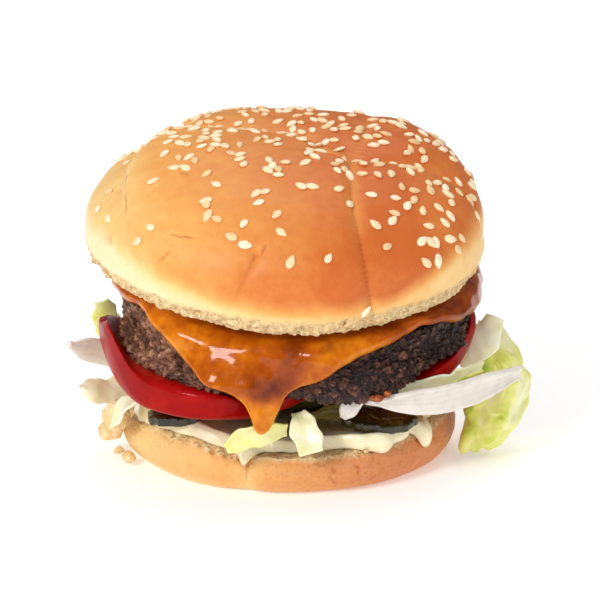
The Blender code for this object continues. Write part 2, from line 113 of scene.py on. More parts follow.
# Hairline cracks in its crust, dented and darkened with painted shade
CRACKS = (
    ((-4.3, -45.2, 12), (-5.0, -46.2, 10.9), (-5.6, -46.8, 10)),
    ((-28.4, -37.6, 10.6), (-26, -38.9, 10.6), (-24.4, -39.7, 11), (-21.6, -40.9, 11.1)),
    ((-31.4, -41, 4.4), (-30, -40.8, 5.8), (-27.8, -40.6, 7.6)),
    ((-27.4, -17.8, 19.3), (-25.6, -19, 19.4), (-23.8, -19.8, 19.8)),
    ((-41, -6, 14.4), (-40.6, -9, 14.2), (-41.2, -12, 13.8)),
    ((-40.6, -17, 13), (-40.2, -21, 12.2), (-40.6, -24, 11)),
)
# Single seeds low on the crown: direction in degrees, and height above its widest level
STRAY_SEEDS = ((-88, 8.6), (-77, 9.3), (-107, 12.5), (-102, 11.3), (-91, 14), (-57, 9.4), (-135, 10.6),
               (-137, 7), (-156, 6.9), (-166, 6.2), (-150, 3.2), (-172, 9), (-42, 8), (-46, 4.2), (-42, 3.4),
               (-33, 4.2), (-66, -5.4), (-71, -8.2), (-93, 16.7), (-114, 15), (-121, 16.8))


def rgb(red, green, blue):
    """A colour given in 0-255 steps as it looks on a screen, in linear light."""
    steps = np.array((red, green, blue)) / 255
    linear = np.where(steps <= 0.04045, steps / 12.92, ((steps + 0.055) / 1.055) ** 2.4)
    return tuple(float(value) for value in linear)


# ---------------------------------------------------------------- settings


def length(name, description, millimetres):
    return FloatProperty(
        name=name, description=description, default=millimetres * MM, unit="LENGTH", subtype="DISTANCE")


def colour_of(name, description, *steps):
    return FloatVectorProperty(
        name=name, description=description, default=rgb(*steps), size=3, subtype="COLOR")


class RollSettings(PropertyGroup):
    seed_length: length("Seed length", "Length of a sesame seed", 3.5)
    seed_count: IntProperty(
        name="Seeds", description="Sesame seeds scattered over the crown's top", default=300, min=0, max=600)
    crust_depth: FloatProperty(
        name="Crease depth", description="Share of the folds' full depth", default=1.0, subtype="FACTOR")
    pale_crust: colour_of("Pale crust", "Crust that has hardly browned", 250, 226, 178)
    brown_crust: colour_of("Brown crust", "Crust at its darkest", 208, 104, 38)


class FillingSettings(PropertyGroup):
    cheese_thickness: length("Cheese thickness", "Thickness of the melted cheese", 2.0)
    sauce_thickness: length("Mayonnaise thickness", "Thickness of the mayonnaise", 1.5)
    shred_count: IntProperty(
        name="Lettuce shreds", description="Shreds of lettuce under the patty", default=210, min=0, max=400)
    cheese_colour: colour_of("Cheese", "Melted cheese where it is of middling thickness", 182, 86, 2)
    tomato_colour: colour_of("Tomato skin", "Skin of the tomato slices", 164, 8, 7)
    meat_colour: colour_of("Beef", "Browned beef between its dark crust and its pale grains", 122, 72, 49)


class StageSettings(PropertyGroup):
    camera_distance: length("Camera distance", "From the camera to what it looks at", 900)
    camera_lift: FloatProperty(
        name="Camera lift", description="How far the camera looks down", default=math.radians(16),
        unit="ROTATION", subtype="ANGLE")
    key_power: FloatProperty(
        name="Key light", description="Power of the large soft light", default=7.8, unit="POWER")
    sky_strength: FloatProperty(
        name="Surrounding light", description="Brightness of the white surroundings", default=0.56)


# ---------------------------------------------------------------- numbers


def smoothstep(low, high, value):
    share = np.clip((value - low) / (high - low), 0.0, 1.0)
    return share * share * (3 - 2 * share)


def mix(first, second, share):
    return first + (second - first) * share


def bell(value, middle, half_width):
    """1 at the middle, falling smoothly to nothing a few half widths away."""
    return np.exp(-(((value - middle) / half_width) ** 2))


def turn_between(angle, other):
    return np.arctan2(np.sin(angle - other), np.cos(angle - other))


def towards(angle, degrees, half_width):
    """1 in the given direction, falling smoothly to nothing a few half widths (in degrees) to either side."""
    return bell(turn_between(angle, math.radians(degrees)), 0, math.radians(half_width))


def between(angle, first, second, soft_first, soft_second):
    """1 from the first direction round to the second, in degrees, with soft ends."""
    turn = np.degrees(turn_between(angle, math.radians((first + second) / 2)))
    half = (second - first) / 2
    return smoothstep(-half - soft_first, -half, turn) * smoothstep(half + soft_second, half, turn)


def lumps(points, size, seed):
    """Smooth unevenness about zero that changes over roughly the given size."""
    shift = Vector((seed, 0.3 * seed, 0.7 * seed))
    return np.array([noise.noise(Vector(point) / size + shift) for point in points])


def wobble(angle, seed, swing):
    ring = np.column_stack((1.7 * np.cos(angle), 1.7 * np.sin(angle), np.full(len(angle), seed)))
    return swing * np.array([noise.noise(Vector(point)) for point in ring])


def cells(points, size, seed):
    """(height above the furrow between grains, a value for each grain), from 0 to 1."""
    shift = Vector((seed, 0.6 * seed, 0.2 * seed))
    found = [noise.voronoi(Vector(point) / size + shift) for point in points]
    furrow = np.array([distances[1] - distances[0] for distances, _ in found])
    tint = np.array([noise.noise(places[0] * 7.3) for _, places in found])
    return np.clip(furrow, 0, 1), 0.5 + 0.9 * tint


def smooth_line(points, rounds=3):
    """Cuts the corners of a line of points until it runs smoothly."""
    line = np.array(points, float)
    for _ in range(rounds):
        near = 0.75 * line[:-1] + 0.25 * line[1:]
        far = 0.25 * line[:-1] + 0.75 * line[1:]
        middle = np.stack((near, far), 1).reshape(-1, line.shape[1])
        line = np.concatenate((line[:1], middle, line[-1:]))
    return line


def off_line(points, line, reach=24.0):
    """(gap to a line, share of the way along it, the way from it) of each point. Far ones get 99."""
    near = np.all((points > line.min(0) - reach) & (points < line.max(0) + reach), axis=1)
    gap, along = np.full(len(points), 99.0), np.zeros(len(points))
    way = np.zeros((len(points), 3))
    gaps = np.linalg.norm(points[near][:, None, :] - line[None, :, :], axis=2)
    at = gaps.argmin(1)
    gap[near] = gaps[np.arange(len(at)), at]
    along[near] = at / (len(line) - 1)
    way[near] = points[near] - line[at]
    return gap, along, way


def laid_on(line, spots, normals):
    """A smooth line moved straight in or out onto a surface given by its points and normals."""
    line = smooth_line(line)
    nearest = [int(((spots - point) ** 2).sum(1).argmin()) for point in line]
    rise = ((line - spots[nearest]) * normals[nearest]).sum(1)
    return line - normals[nearest] * rise[:, None]


def unit(vectors):
    return vectors / np.maximum(np.linalg.norm(vectors, axis=-1, keepdims=True), 1e-9)


def outwards(angle, rise=0.0):
    """The way out in each direction, rising or falling by the same amount."""
    return np.column_stack((np.cos(angle), np.sin(angle), np.full(len(angle), rise)))


def superellipse(lift, squareness):
    """(outward, upward) shares of a rounded slab's section, for lifts of 0 at its top to pi underneath."""
    outward, upward = np.maximum(0.0, np.sin(lift)), np.cos(lift)
    far = (outward**squareness + np.abs(upward) ** squareness) ** (1 / squareness)
    return outward / far, upward / far


def placed(matrix, points):
    matrix = np.array(matrix)
    return points @ matrix[:3, :3].T + matrix[:3, 3]


# ---------------------------------------------------------------- meshes


def points_of(piece):
    points = np.zeros(len(piece.data.vertices) * 3)
    piece.data.vertices.foreach_get("co", points)
    return points.reshape(-1, 3)


def set_points(piece, points):
    """Moves every point of a piece to its place, given in millimetres."""
    piece.data.vertices.foreach_set("co", (points * MM).ravel())
    piece.data.update()


def set_mask(piece, name, values):
    mask = piece.data.attributes.new(name, "FLOAT", "POINT")
    mask.data.foreach_set("value", np.asarray(values, np.float32))


def named(name):
    piece = bpy.context.active_object
    piece.name = piece.data.name = name
    return piece


def round_piece(name, segments, rings, place, crowding=0.0):
    """A ball whose every point, given as (angles, lifts), is moved to its place.

    With crowding its columns stand closer together in front, where small marks show.
    """
    bpy.ops.object.select_all(action="DESELECT")
    bpy.ops.mesh.primitive_uv_sphere_add(segments=segments, ring_count=rings, radius=1)
    piece = named(name)
    at = points_of(piece)
    turn = turn_between(np.arctan2(at[:, 1], at[:, 0]), math.radians(-90))
    angles = math.radians(-90) + turn - crowding * np.sin(turn)
    lifts = np.arccos(np.clip(at[:, 2], -1, 1))
    set_points(piece, place(angles, lifts, piece))
    return piece


def sheet_piece(name, columns, rows, place):
    """A grid whose every point, given as two shares from 0 to 1, is moved to its place."""
    bpy.ops.object.select_all(action="DESELECT")
    bpy.ops.mesh.primitive_grid_add(x_subdivisions=columns, y_subdivisions=rows, size=1)
    piece = named(name)
    at = points_of(piece)
    set_points(piece, place(at[:, 0] + 0.5, at[:, 1] + 0.5, piece))
    return piece


def apply_modifier(piece, name, kind, **settings):
    modifier = piece.modifiers.new(name, kind)
    for setting, value in settings.items():
        setattr(modifier, setting, value)
    bpy.ops.object.select_all(action="DESELECT")
    bpy.context.view_layer.objects.active = piece
    piece.select_set(True)
    bpy.ops.object.modifier_apply(modifier=name)
    return piece


def thicken(piece, thickness, levels=1):
    """Gives a sheet its thickness in millimetres, and rounds its edges off."""
    apply_modifier(piece, "thickness", "SOLIDIFY", thickness=thickness * MM, offset=0, use_even_offset=False)
    if levels:
        apply_modifier(piece, "rounding", "SUBSURF", levels=levels, render_levels=levels)
    return piece


def join(name, pieces):
    bpy.ops.object.select_all(action="DESELECT")
    for piece in pieces:
        piece.select_set(True)
    bpy.context.view_layer.objects.active = pieces[0]
    if len(pieces) > 1:
        bpy.ops.object.join()
    return named(name)


def copies_in_one(name, source, matrices, tints):
    """One mesh of many copies of a small piece, each in its place and with its own tint."""
    points = points_of(source)
    faces = [tuple(face.vertices) for face in source.data.polygons]
    count = len(points)
    every = np.concatenate([placed(matrix, points) for matrix in matrices])
    firsts = range(0, len(matrices) * count, count)
    joined = [tuple(index + first for index in face) for first in firsts for face in faces]
    mesh = bpy.data.meshes.new(name)
    mesh.from_pydata([tuple(point) for point in every], [], joined)
    bpy.data.objects.remove(source)
    piece = bpy.data.objects.new(name, mesh)
    bpy.context.scene.collection.objects.link(piece)
    set_mask(piece, "tint", np.repeat(tints, count))
    return piece


def done(piece, finish, slot, *nodes):
    """Gives a finished piece its material and its place in the frame."""
    piece.data.shade_smooth()
    piece.data.materials.clear()
    piece.data.materials.append(finish())
    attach(piece, "root")
    if nodes:
        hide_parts(*nodes)
    return piece


# ---------------------------------------------------------------- shader parts


def add_node(tree, kind, inputs=None, **settings):
    made = tree.nodes.new("ShaderNode" + kind)
    for setting, value in settings.items():
        setattr(made, setting, value)
    for socket, value in (inputs or {}).items():
        if isinstance(value, bpy.types.NodeSocket):
            tree.links.new(value, made.inputs[socket])
        else:
            made.inputs[socket].default_value = value
    return made


def calculate(tree, operation, first, second=0.0, third=0.0, clamp=False):
    inputs = {0: first, 1: second, 2: third}
    return add_node(tree, "Math", inputs, operation=operation, use_clamp=clamp).outputs[0]


def uneven(tree, value, mottle, swing, clamp=False):
    """A value that a mottle moves up and down by half the swing."""
    return calculate(tree, "MULTIPLY_ADD", calculate(tree, "SUBTRACT", mottle, 0.5), swing, value, clamp)


def stretch(tree, value, low, high):
    """0 at low and below, 1 at high and above."""
    inputs = {"Value": value, "From Min": low, "From Max": high}
    return add_node(tree, "MapRange", inputs, clamp=True).outputs["Result"]


def blend_colours(tree, share, first, second):
    node = add_node(tree, "Mix", data_type="RGBA", blend_type="MIX")
    for socket, value in ((node.inputs[0], share), (node.inputs[6], first), (node.inputs[7], second)):
        if isinstance(value, bpy.types.NodeSocket):
            tree.links.new(value, socket)
        elif isinstance(value, (int, float)):
            socket.default_value = value
        else:
            socket.default_value = (*value, 1)
    return node.outputs[2]


def ramp(tree, value, stops):
    node = add_node(tree, "ValToRGB", {"Fac": value})
    elements = node.color_ramp.elements
    while len(elements) < len(stops):
        elements.new(0.5)
    for element, (position, colour) in zip(elements, stops):
        element.position = position
        element.color = (*colour, 1)
    return node.outputs["Color"]


def mask_value(tree, name):
    return add_node(tree, "Attribute", attribute_name=name, attribute_type="GEOMETRY").outputs["Fac"]


def group(name, inputs, outputs, wire):
    """A node group, made once: wire gets the tree and the group's input sockets, and returns its outputs."""
    found = bpy.data.node_groups.get(name)
    if found:
        return found
    tree = bpy.data.node_groups.new(name, "ShaderNodeTree")
    for socket, default in inputs.items():
        made = tree.interface.new_socket(socket, in_out="INPUT", socket_type="NodeSocketFloat")
        made.default_value = default
    for socket in outputs:
        tree.interface.new_socket(socket, in_out="OUTPUT", socket_type="NodeSocketFloat")
    source = tree.nodes.new("NodeGroupInput")
    sink = tree.nodes.new("NodeGroupOutput")
    for socket, value in zip(outputs, wire(tree, source.outputs)):
        tree.links.new(value, sink.inputs[socket])
    return tree


def use_group(tree, made, **inputs):
    node = tree.nodes.new("ShaderNodeGroup")
    node.node_tree = made
    for socket, value in inputs.items():
        if isinstance(value, bpy.types.NodeSocket):
            tree.links.new(value, node.inputs[socket])
        else:
            node.inputs[socket].default_value = value
    return node.outputs


def object_place(tree):
    return add_node(tree, "TexCoord").outputs["Object"]


def mottle_group():
    """Soft uneven patches of two sizes. Scale is patches per metre."""

    def wire(tree, sources):
        place = object_place(tree)
        wide = add_node(tree, "TexNoise", {"Vector": place, "Scale": sources["Scale"], "Detail": 3.0})
        close_scale = calculate(tree, "MULTIPLY", sources["Scale"], 4.3)
        close = add_node(tree, "TexNoise", {"Vector": place, "Scale": close_scale, "Detail": 4.0})
        rest = calculate(tree, "MULTIPLY", close.outputs["Fac"], 0.38)
        both = calculate(tree, "MULTIPLY_ADD", wide.outputs["Fac"], 0.62, rest)
        centred = calculate(tree, "SUBTRACT", both, 0.5)
        strong = calculate(tree, "MULTIPLY", centred, sources["Contrast"])
        return [calculate(tree, "ADD", strong, 0.5, clamp=True), close.outputs["Fac"]]

    return group("mottle", {"Scale": 120.0, "Contrast": 2.0}, ("Value", "Close"), wire)


def mottled(tree, scale, contrast):
    return use_group(tree, mottle_group(), Scale=scale, Contrast=contrast)


def pores_group():
    """Round pores of bread: a height with pits, and a mask of the pits."""

    def wire(tree, sources):
        place = object_place(tree)
        bend = add_node(tree, "TexNoise", {"Vector": place, "Scale": 900.0, "Detail": 2.0})
        sizes = {0: bend.outputs["Color"], 1: (0.0012,) * 3}
        shifted = add_node(tree, "VectorMath", sizes, operation="MULTIPLY")
        moved = add_node(tree, "VectorMath", {0: place, 1: shifted.outputs[0]}, operation="ADD").outputs[0]
        holes = add_node(tree, "TexVoronoi", {"Vector": moved, "Scale": sources["Scale"]}, feature="F1")
        fine_scale = calculate(tree, "MULTIPLY", sources["Scale"], 2.7)
        fine = add_node(tree, "TexVoronoi", {"Vector": moved, "Scale": fine_scale}, feature="F1")
        large = stretch(tree, holes.outputs["Distance"], 0.08, 0.5)
        small = stretch(tree, fine.outputs["Distance"], 0.05, 0.5)
        height = calculate(tree, "MULTIPLY_ADD", small, 0.4, large)
        pits = calculate(tree, "SUBTRACT", 1.0, calculate(tree, "MULTIPLY", large, small), clamp=True)
        return [height, pits]

    return group("pores", {"Scale": 700.0}, ("Height", "Pits"), wire)


def new_material(name, **shader_values):
    """(material, its tree, its Principled shader). Values that are the same all over go on the shader."""
    made = bpy.data.materials.new(name)
    made.use_nodes = True
    shader = made.node_tree.nodes["Principled BSDF"]
    for socket, value in shader_values.items():
        shader.inputs[socket.replace("_", " ")].default_value = value
    return made, made.node_tree, shader


def connect(tree, shader, **sources):
    for socket, value in sources.items():
        tree.links.new(value, shader.inputs[socket.replace("_", " ")])


def bump(tree, height, strength, distance, under=None):
    inputs = {"Height": height, "Strength": strength, "Distance": distance * MM}
    if under is not None:
        inputs["Normal"] = under
    return add_node(tree, "Bump", inputs).outputs["Normal"]


def once(maker):
    """Keeps a finish that several pieces share, so that it is made a single time."""
    kept = []

    def finish():
        if not kept:
            kept.append(maker())
        return kept[0]

    return finish


# ---------------------------------------------------------------- finishes


@once
def crust_finish():
    """Baked crust from cream to deep orange brown, with pale open crumb where it is cut or torn, and painted
    shade in its pores, cracks and creases.
    """
    roll = bpy.context.scene.burger_roll
    made, tree, shader = new_material(
        "crust", Subsurface_Weight=0.12, Subsurface_Radius=(0.9, 0.45, 0.2), Subsurface_Scale=0.0022,
        Specular_IOR_Level=0.32)
    mottle = mottled(tree, 70.0, 1.6)
    fine = mottled(tree, 420.0, 2.2)
    pores = use_group(tree, pores_group(), Scale=880.0)
    patchy = uneven(tree, mask_value(tree, "browned"), mottle["Value"], 0.24)
    speckled = uneven(tree, patchy, fine["Value"], 0.10, clamp=True)
    stops = ((0.0, tuple(roll.pale_crust)), (0.3, rgb(247, 205, 132)), (0.55, rgb(238, 168, 87)),
             (0.78, rgb(224, 139, 65)), (1.0, tuple(roll.brown_crust)))
    crust = ramp(tree, speckled, stops)
    crumb_light = ramp(tree, fine["Value"], ((0.2, rgb(232, 194, 134)), (0.8, rgb(250, 226, 178))))
    # Painted shade: the crumb is darker in its pores
    in_pits = calculate(tree, "MULTIPLY", pores["Pits"], 0.5)
    crumb = blend_colours(tree, in_pits, crumb_light, rgb(210, 158, 98))
    open_crumb = mask_value(tree, "crumb")
    colour = blend_colours(tree, open_crumb, crust, crumb)
    # Painted shade: cracks, crease clefts and the heel's seam are darkened
    dark = blend_colours(tree, mask_value(tree, "crack"), colour, rgb(184, 76, 24))
    pore_height = calculate(tree, "MULTIPLY", pores["Height"], open_crumb)
    skin = bump(tree, fine["Close"], 0.22, 0.25)
    roughness = calculate(tree, "MULTIPLY_ADD", open_crumb, 0.3, 0.46)
    pitted = bump(tree, pore_height, 0.8, 0.8, skin)
    connect(tree, shader, Base_Color=dark, Roughness=roughness, Normal=pitted)
    return made


@once
def seed_finish():
    """Toasted sesame: creamy, a little darker from seed to seed."""
    made, tree, shader = new_material(
        "sesame", Roughness=0.42, Subsurface_Weight=0.15, Subsurface_Scale=0.001)
    mottle = mottled(tree, 600.0, 1.5)
    shade = calculate(tree, "MULTIPLY_ADD", mottle["Value"], 0.3, mask_value(tree, "tint"))
    stops = (0.1, rgb(226, 176, 112)), (0.45, rgb(250, 220, 172)), (1.0, rgb(255, 238, 206))
    colour = ramp(tree, shade, stops)
    connect(tree, shader, Base_Color=colour, Normal=bump(tree, mottle["Close"], 0.2, 0.15))
    return made


@once
def meat_finish():
    """Seared minced beef: brown grains, some paler ones, and wet fat, with painted shade in the furrows and
    pits and the left side lighter as painted light.
    """
    filling = bpy.context.scene.burger_filling
    made, tree, shader = new_material("beef", Specular_IOR_Level=0.55)
    mottle = mottled(tree, 230.0, 2.4)
    fine = mottled(tree, 900.0, 2.0)
    # The grain mask holds the grains' own tone, painted shade in the furrows and painted light on the left
    # side
    tone = uneven(tree, mask_value(tree, "grain"), mottle["Value"], 0.5)
    stops = ((0.0, rgb(20, 8, 5)), (0.25, rgb(56, 26, 17)), (0.5, tuple(filling.meat_colour)),
             (0.75, rgb(176, 120, 88)), (1.0, rgb(220, 170, 136)))
    lit = ramp(tree, tone, stops)
    # The sear mask holds real sear and also painted shade that keeps the right side dark
    colour = blend_colours(tree, calculate(tree, "MULTIPLY", mask_value(tree, "seared"), 0.78), lit,
                           rgb(36, 16, 11))
    grains = use_group(tree, pores_group(), Scale=820.0)
    # Painted shade in the pits between grains
    colour = blend_colours(tree, calculate(tree, "MULTIPLY", grains["Pits"], 0.35), colour, rgb(24, 11, 8))
    roughness = stretch(tree, fine["Value"], 0.1, 1.7)
    coarse = bump(tree, grains["Height"], 0.9, 0.7)
    rough = bump(tree, fine["Close"], 0.6, 0.8, coarse)
    connect(tree, shader, Base_Color=colour, Roughness=roughness, Normal=rough)
    return made


@once
def cheese_finish():
    """Melted cheese: glossy, amber where thick, yellow where thin, with browned streaks and painted light and
    shade.
    """
    filling = bpy.context.scene.burger_filling
    made, tree, shader = new_material(
        "cheese", Subsurface_Weight=0.08, Subsurface_Radius=(1.0, 0.3, 0.05), Subsurface_Scale=0.003,
        Roughness=0.2, Coat_Weight=0.42, Coat_Roughness=0.02, Specular_IOR_Level=0.08)
    mottle = mottled(tree, 95.0, 2.4)
    tone = uneven(tree, mask_value(tree, "bright"), mottle["Value"], 0.55)
    stops = ((0.0, rgb(98, 32, 4)), (0.28, rgb(144, 60, 3)), (0.55, tuple(filling.cheese_colour)),
             (0.8, rgb(218, 126, 8)), (1.0, rgb(236, 162, 40)))
    colour = blend_colours(tree, mask_value(tree, "browned"), ramp(tree, tone, stops), rgb(104, 38, 10))
    connect(tree, shader, Base_Color=colour, Normal=bump(tree, mottle["Close"], 0.25, 0.8))
    return made


@once
def tomato_finish():
    """Deep red skin with a wet shine, and paler flesh on the cut faces, darkened a little as painted shade.
    """
    filling = bpy.context.scene.burger_filling
    made, tree, shader = new_material(
        "tomato", Coat_Weight=0.15, Coat_Roughness=0.03, Specular_IOR_Level=0.05)
    mottle = mottled(tree, 90.0, 2.0)
    skin = ramp(tree, mottle["Value"], ((0.2, rgb(142, 6, 6)), (0.6, tuple(filling.tomato_colour)),
                                        (1.0, rgb(190, 22, 12))))
    # The flesh colour is darkened a little as painted shade
    flesh = ramp(tree, mottle["Value"], ((0.1, rgb(150, 18, 12)), (0.9, rgb(196, 50, 32))))
    colour = blend_colours(tree, mask_value(tree, "cut"), skin, flesh)
    roughness = stretch(tree, mottle["Close"], -0.4, 2.4)
    dimpled = bump(tree, mottle["Close"], 0.12, 0.5)
    connect(tree, shader, Base_Color=colour, Roughness=roughness, Normal=dimpled)
    return made


@once
def mayonnaise_finish():
    """Thick cream sauce with a soft shine."""
    made, tree, shader = new_material(
        "mayonnaise", Subsurface_Weight=0.25, Subsurface_Radius=(1.0, 0.8, 0.5), Subsurface_Scale=0.002,
        Roughness=0.28, Coat_Weight=0.3, Coat_Roughness=0.12)
    mottle = mottled(tree, 160.0, 2.0)
    colour = ramp(tree, mottle["Value"], ((0.1, rgb(244, 226, 168)), (0.9, rgb(255, 247, 218))))
    connect(tree, shader, Base_Color=colour, Normal=bump(tree, mottle["Value"], 0.4, 0.6))
    return made


@once
def lettuce_finish():
    """Iceberg lettuce from white rib to yellow-green rim, with fine branching veins, and painted shade deep
    in the heap.
    """
    made, tree, shader = new_material(
        "lettuce", Subsurface_Weight=0.3, Subsurface_Radius=(0.8, 1.0, 0.3), Subsurface_Scale=0.002,
        Roughness=0.3, Coat_Weight=0.25, Coat_Roughness=0.15)
    mottle = mottled(tree, 130.0, 2.2)
    veins = add_node(tree, "TexVoronoi", {"Vector": object_place(tree), "Scale": 260.0},
                     feature="DISTANCE_TO_EDGE")
    lines = stretch(tree, veins.outputs["Distance"], 0.0, 0.09)
    tone = uneven(tree, mask_value(tree, "green"), mottle["Value"], 0.45)
    stops = ((0.0, rgb(252, 248, 222)), (0.3, rgb(244, 242, 184)), (0.6, rgb(236, 237, 134)),
             (0.85, rgb(214, 222, 84)), (1.0, rgb(170, 190, 46)))
    leaf = ramp(tree, tone, stops)
    pale = calculate(tree, "MULTIPLY", calculate(tree, "SUBTRACT", 1.0, lines), 0.14)
    colour = blend_colours(tree, pale, leaf, rgb(246, 243, 200))
    # Painted shade: the deep mask darkens the front of the heap's core
    colour = blend_colours(tree, mask_value(tree, "deep"), colour, rgb(36, 34, 10))
    connect(tree, shader, Base_Color=colour, Normal=bump(tree, lines, 0.12, 0.4))
    return made


@once
def onion_finish():
    """White onion, a little see-through, with faint long lines."""
    made, tree, shader = new_material(
        "onion", Subsurface_Weight=0.3, Subsurface_Radius=(1.0, 0.9, 0.8), Subsurface_Scale=0.002,
        Roughness=0.24, Coat_Weight=0.3, Coat_Roughness=0.1)
    mottle = mottled(tree, 110.0, 1.6)
    across = calculate(tree, "MULTIPLY", mask_value(tree, "across"), 26.0)
    lines = calculate(tree, "MULTIPLY_ADD", calculate(tree, "SINE", across), 0.07, mottle["Value"])
    stops = (0.1, rgb(208, 198, 186)), (0.5, rgb(228, 220, 210)), (1.0, rgb(242, 236, 228))
    colour = ramp(tree, lines, stops)
    connect(tree, shader, Base_Color=colour, Normal=bump(tree, lines, 0.1, 0.3))
    return made


@once
def pickle_finish():
    """Dark pickled cucumber with a wet shine, lighter inside its skin; its colours are darkened further as
    painted shade.
    """
    made, tree, shader = new_material("pickle", Roughness=0.2, Coat_Weight=0.3, Coat_Roughness=0.1)
    mottle = mottled(tree, 240.0, 2.4)
    # Skin and flesh are darker than the cucumber's own colour, as painted shade
    skin = ramp(tree, mottle["Value"], ((0.1, rgb(20, 17, 5)), (0.9, rgb(62, 56, 18))))
    flesh = ramp(tree, mottle["Value"], ((0.1, rgb(34, 28, 8)), (0.9, rgb(92, 76, 28))))
    colour = blend_colours(tree, mask_value(tree, "cut"), skin, flesh)
    connect(tree, shader, Base_Color=colour, Normal=bump(tree, mottle["Close"], 0.4, 0.4))
    return made


@once
def char_finish():
    """Scorched bits of meat and cheese."""
    made, tree, shader = new_material("charred", Roughness=0.4, Specular_IOR_Level=0.5)
    mottle = mottled(tree, 500.0, 2.4)
    tone = uneven(tree, mask_value(tree, "tint"), mottle["Value"], 0.5)
    colour = ramp(tree, tone, ((0.0, rgb(26, 16, 12)), (0.5, rgb(120, 44, 16)), (1.0, rgb(214, 120, 46))))
    connect(tree, shader, Base_Color=colour, Normal=bump(tree, mottle["Close"], 0.6, 0.6))
    return made


# ---------------------------------------------------------------- crown


def crown_section(share):
    """(outward share of the radius, height) from the top, 0, by the rim to the underside's middle, 1."""
    rim = 1 - CROWN_TUCK / CROWN_WIDE
    climb = np.minimum(share, 0.5) * math.pi
    down = np.clip((share - 0.5) / (CROWN_RIM_SHARE - 0.5), 0, 1)
    outward = np.where(share <= 0.5, np.sin(climb) ** 0.95, 1 - (1 - rim) * down**2.4)
    outward = np.where(share > CROWN_RIM_SHARE, rim * (1 - share) / (1 - CROWN_RIM_SHARE), outward)
    height = np.where(share <= 0.5, CROWN_RISE * np.maximum(np.cos(climb), 0) ** 0.97, -CROWN_DROP * down)
    return outward, height


def crown_place(angles, lifts, piece):
    share = lifts / math.pi
    outward, height = crown_section(share)
    radius = 1 / np.hypot(np.cos(angles) / CROWN_WIDE, np.sin(angles) / CROWN_DEEP)
    radius = radius + wobble(angles, 7.0, 1.0)
    spots = np.column_stack((radius * outward * np.cos(angles), radius * outward * np.sin(angles), height))
    upper = smoothstep(0.70, 0.52, share)
    normals = unit(spots / np.array((CROWN_WIDE, CROWN_DEEP, CROWN_RISE)) ** 2)
    push = 0.9 * lumps(spots, 24, 3.0) + 0.22 * lumps(spots, 7, 5.0)
    push += 2.4 * bell(np.linalg.norm(spots - np.array((32, 26, 14)), axis=1), 0, 16)
    push -= 1.5 * bell(np.linalg.norm(spots - np.array((2, 20, 22)), axis=1), 0, 20)
    depth = bpy.context.scene.burger_roll.crust_depth
    smooth = spots + normals * (push * upper)[:, None]
    crease, cleft, step = np.zeros(len(spots)), np.zeros(len(spots)), np.zeros(len(spots))
    for line, deep, half_width, left_over, low_side, low_by, low_reach, dark in CREASES:
        gap, along, way = off_line(smooth, laid_on(line, smooth, normals))
        left = depth * mix(1.0, left_over, along)
        crease = np.maximum(crease, deep * left * np.exp(-((gap / half_width) ** 1.1)))
        # The cleft's darkness is painted shade along the crease
        cleft = np.maximum(cleft, dark * left * bell(gap, 0, 0.5))
        lower = smoothstep(-0.5, 2.5, way[:, 0] * low_side[0] + way[:, 1] * low_side[1])
        step = np.maximum(step, low_by * left * lower * bell(gap, 0, low_reach))
    crack = np.zeros(len(spots))
    for line in CRACKS:
        gap, along, _ = off_line(smooth, laid_on(line, smooth, normals))
        taper = 0.3 + 0.7 * np.sin(math.pi * np.clip(along, 0.02, 0.98))
        crack = np.maximum(crack, taper * bell(gap, 0, 0.30 * taper))
    wrinkles = 0.16 * np.abs(lumps(spots * np.array((1, 1, 2.2)), 5.5, 25.0)) * towards(angles, -128, 30)
    push = push * upper - (crease + step) * smoothstep(0.66, 0.60, share) - 0.4 * crack - wrinkles
    spots = spots + normals * push[:, None]
    front = smoothstep(0.85, 1.0, outward) * towards(angles, -80, 32)
    lifted = 2.3 * towards(angles, -155, 36) * smoothstep(0.80, 0.95, outward)
    lowered = np.clip(-height / CROWN_DROP, 0, 1)
    spots[:, 2] += (lifted - 1.9 * front) * lowered
    spots[:, 2] -= np.where(share > CROWN_RIM_SHARE, 0.5 * smoothstep(0.95, 0.75, outward), 0)
    wall = smoothstep(0.588, 0.628, share + 0.016 * lumps(spots, 2.6, 8.0))
    torn = wall * smoothstep(0.86, 0.98, outward)
    ragged = 0.9 * lumps(spots, 2.4, 11.0) + 0.8 * lumps(spots * np.array((1, 1, 0.6)), 0.9, 12.0)
    spots = spots + outwards(angles, -0.5) * (ragged * torn)[:, None]
    warmth = 0.76 + 0.0090 * spots[:, 0] + 0.10 * smoothstep(10, 22, height)
    warmth += 0.14 * towards(angles, -64, 24) * smoothstep(18, 4, height)
    warmth += 0.16 * towards(angles, -102, 22) * bell(height, 2, 7)
    warmth -= 0.24 * smoothstep(20, 44, spots[:, 0])
    pale_from = -4.6 + 9.5 * towards(angles, -20, 28) + 7.0 * towards(angles, -155, 38)
    pale = smoothstep(pale_from + 4.5, pale_from - 2.5, height + 1.6 * lumps(spots, 9, 21.0))
    warmth = warmth * (1 - 0.66 * pale) - 0.10 * pale * smoothstep(0, -40, spots[:, 0])
    warmth = warmth - 0.34 * np.clip(crease / 2.0, 0, 1) * smoothstep(10, 17, height)
    set_mask(piece, "browned", np.clip(warmth, 0, 1))
    set_mask(piece, "crumb", np.clip(wall + 0.25 * smoothstep(0.585, 0.62, share), 0, 1))
    # The cracks and crease clefts are darkened with painted shade
    set_mask(piece, "crack", np.clip(0.6 * crack + 0.75 * cleft, 0, 1) * (1 - wall))
    return placed(CROWN, spots)


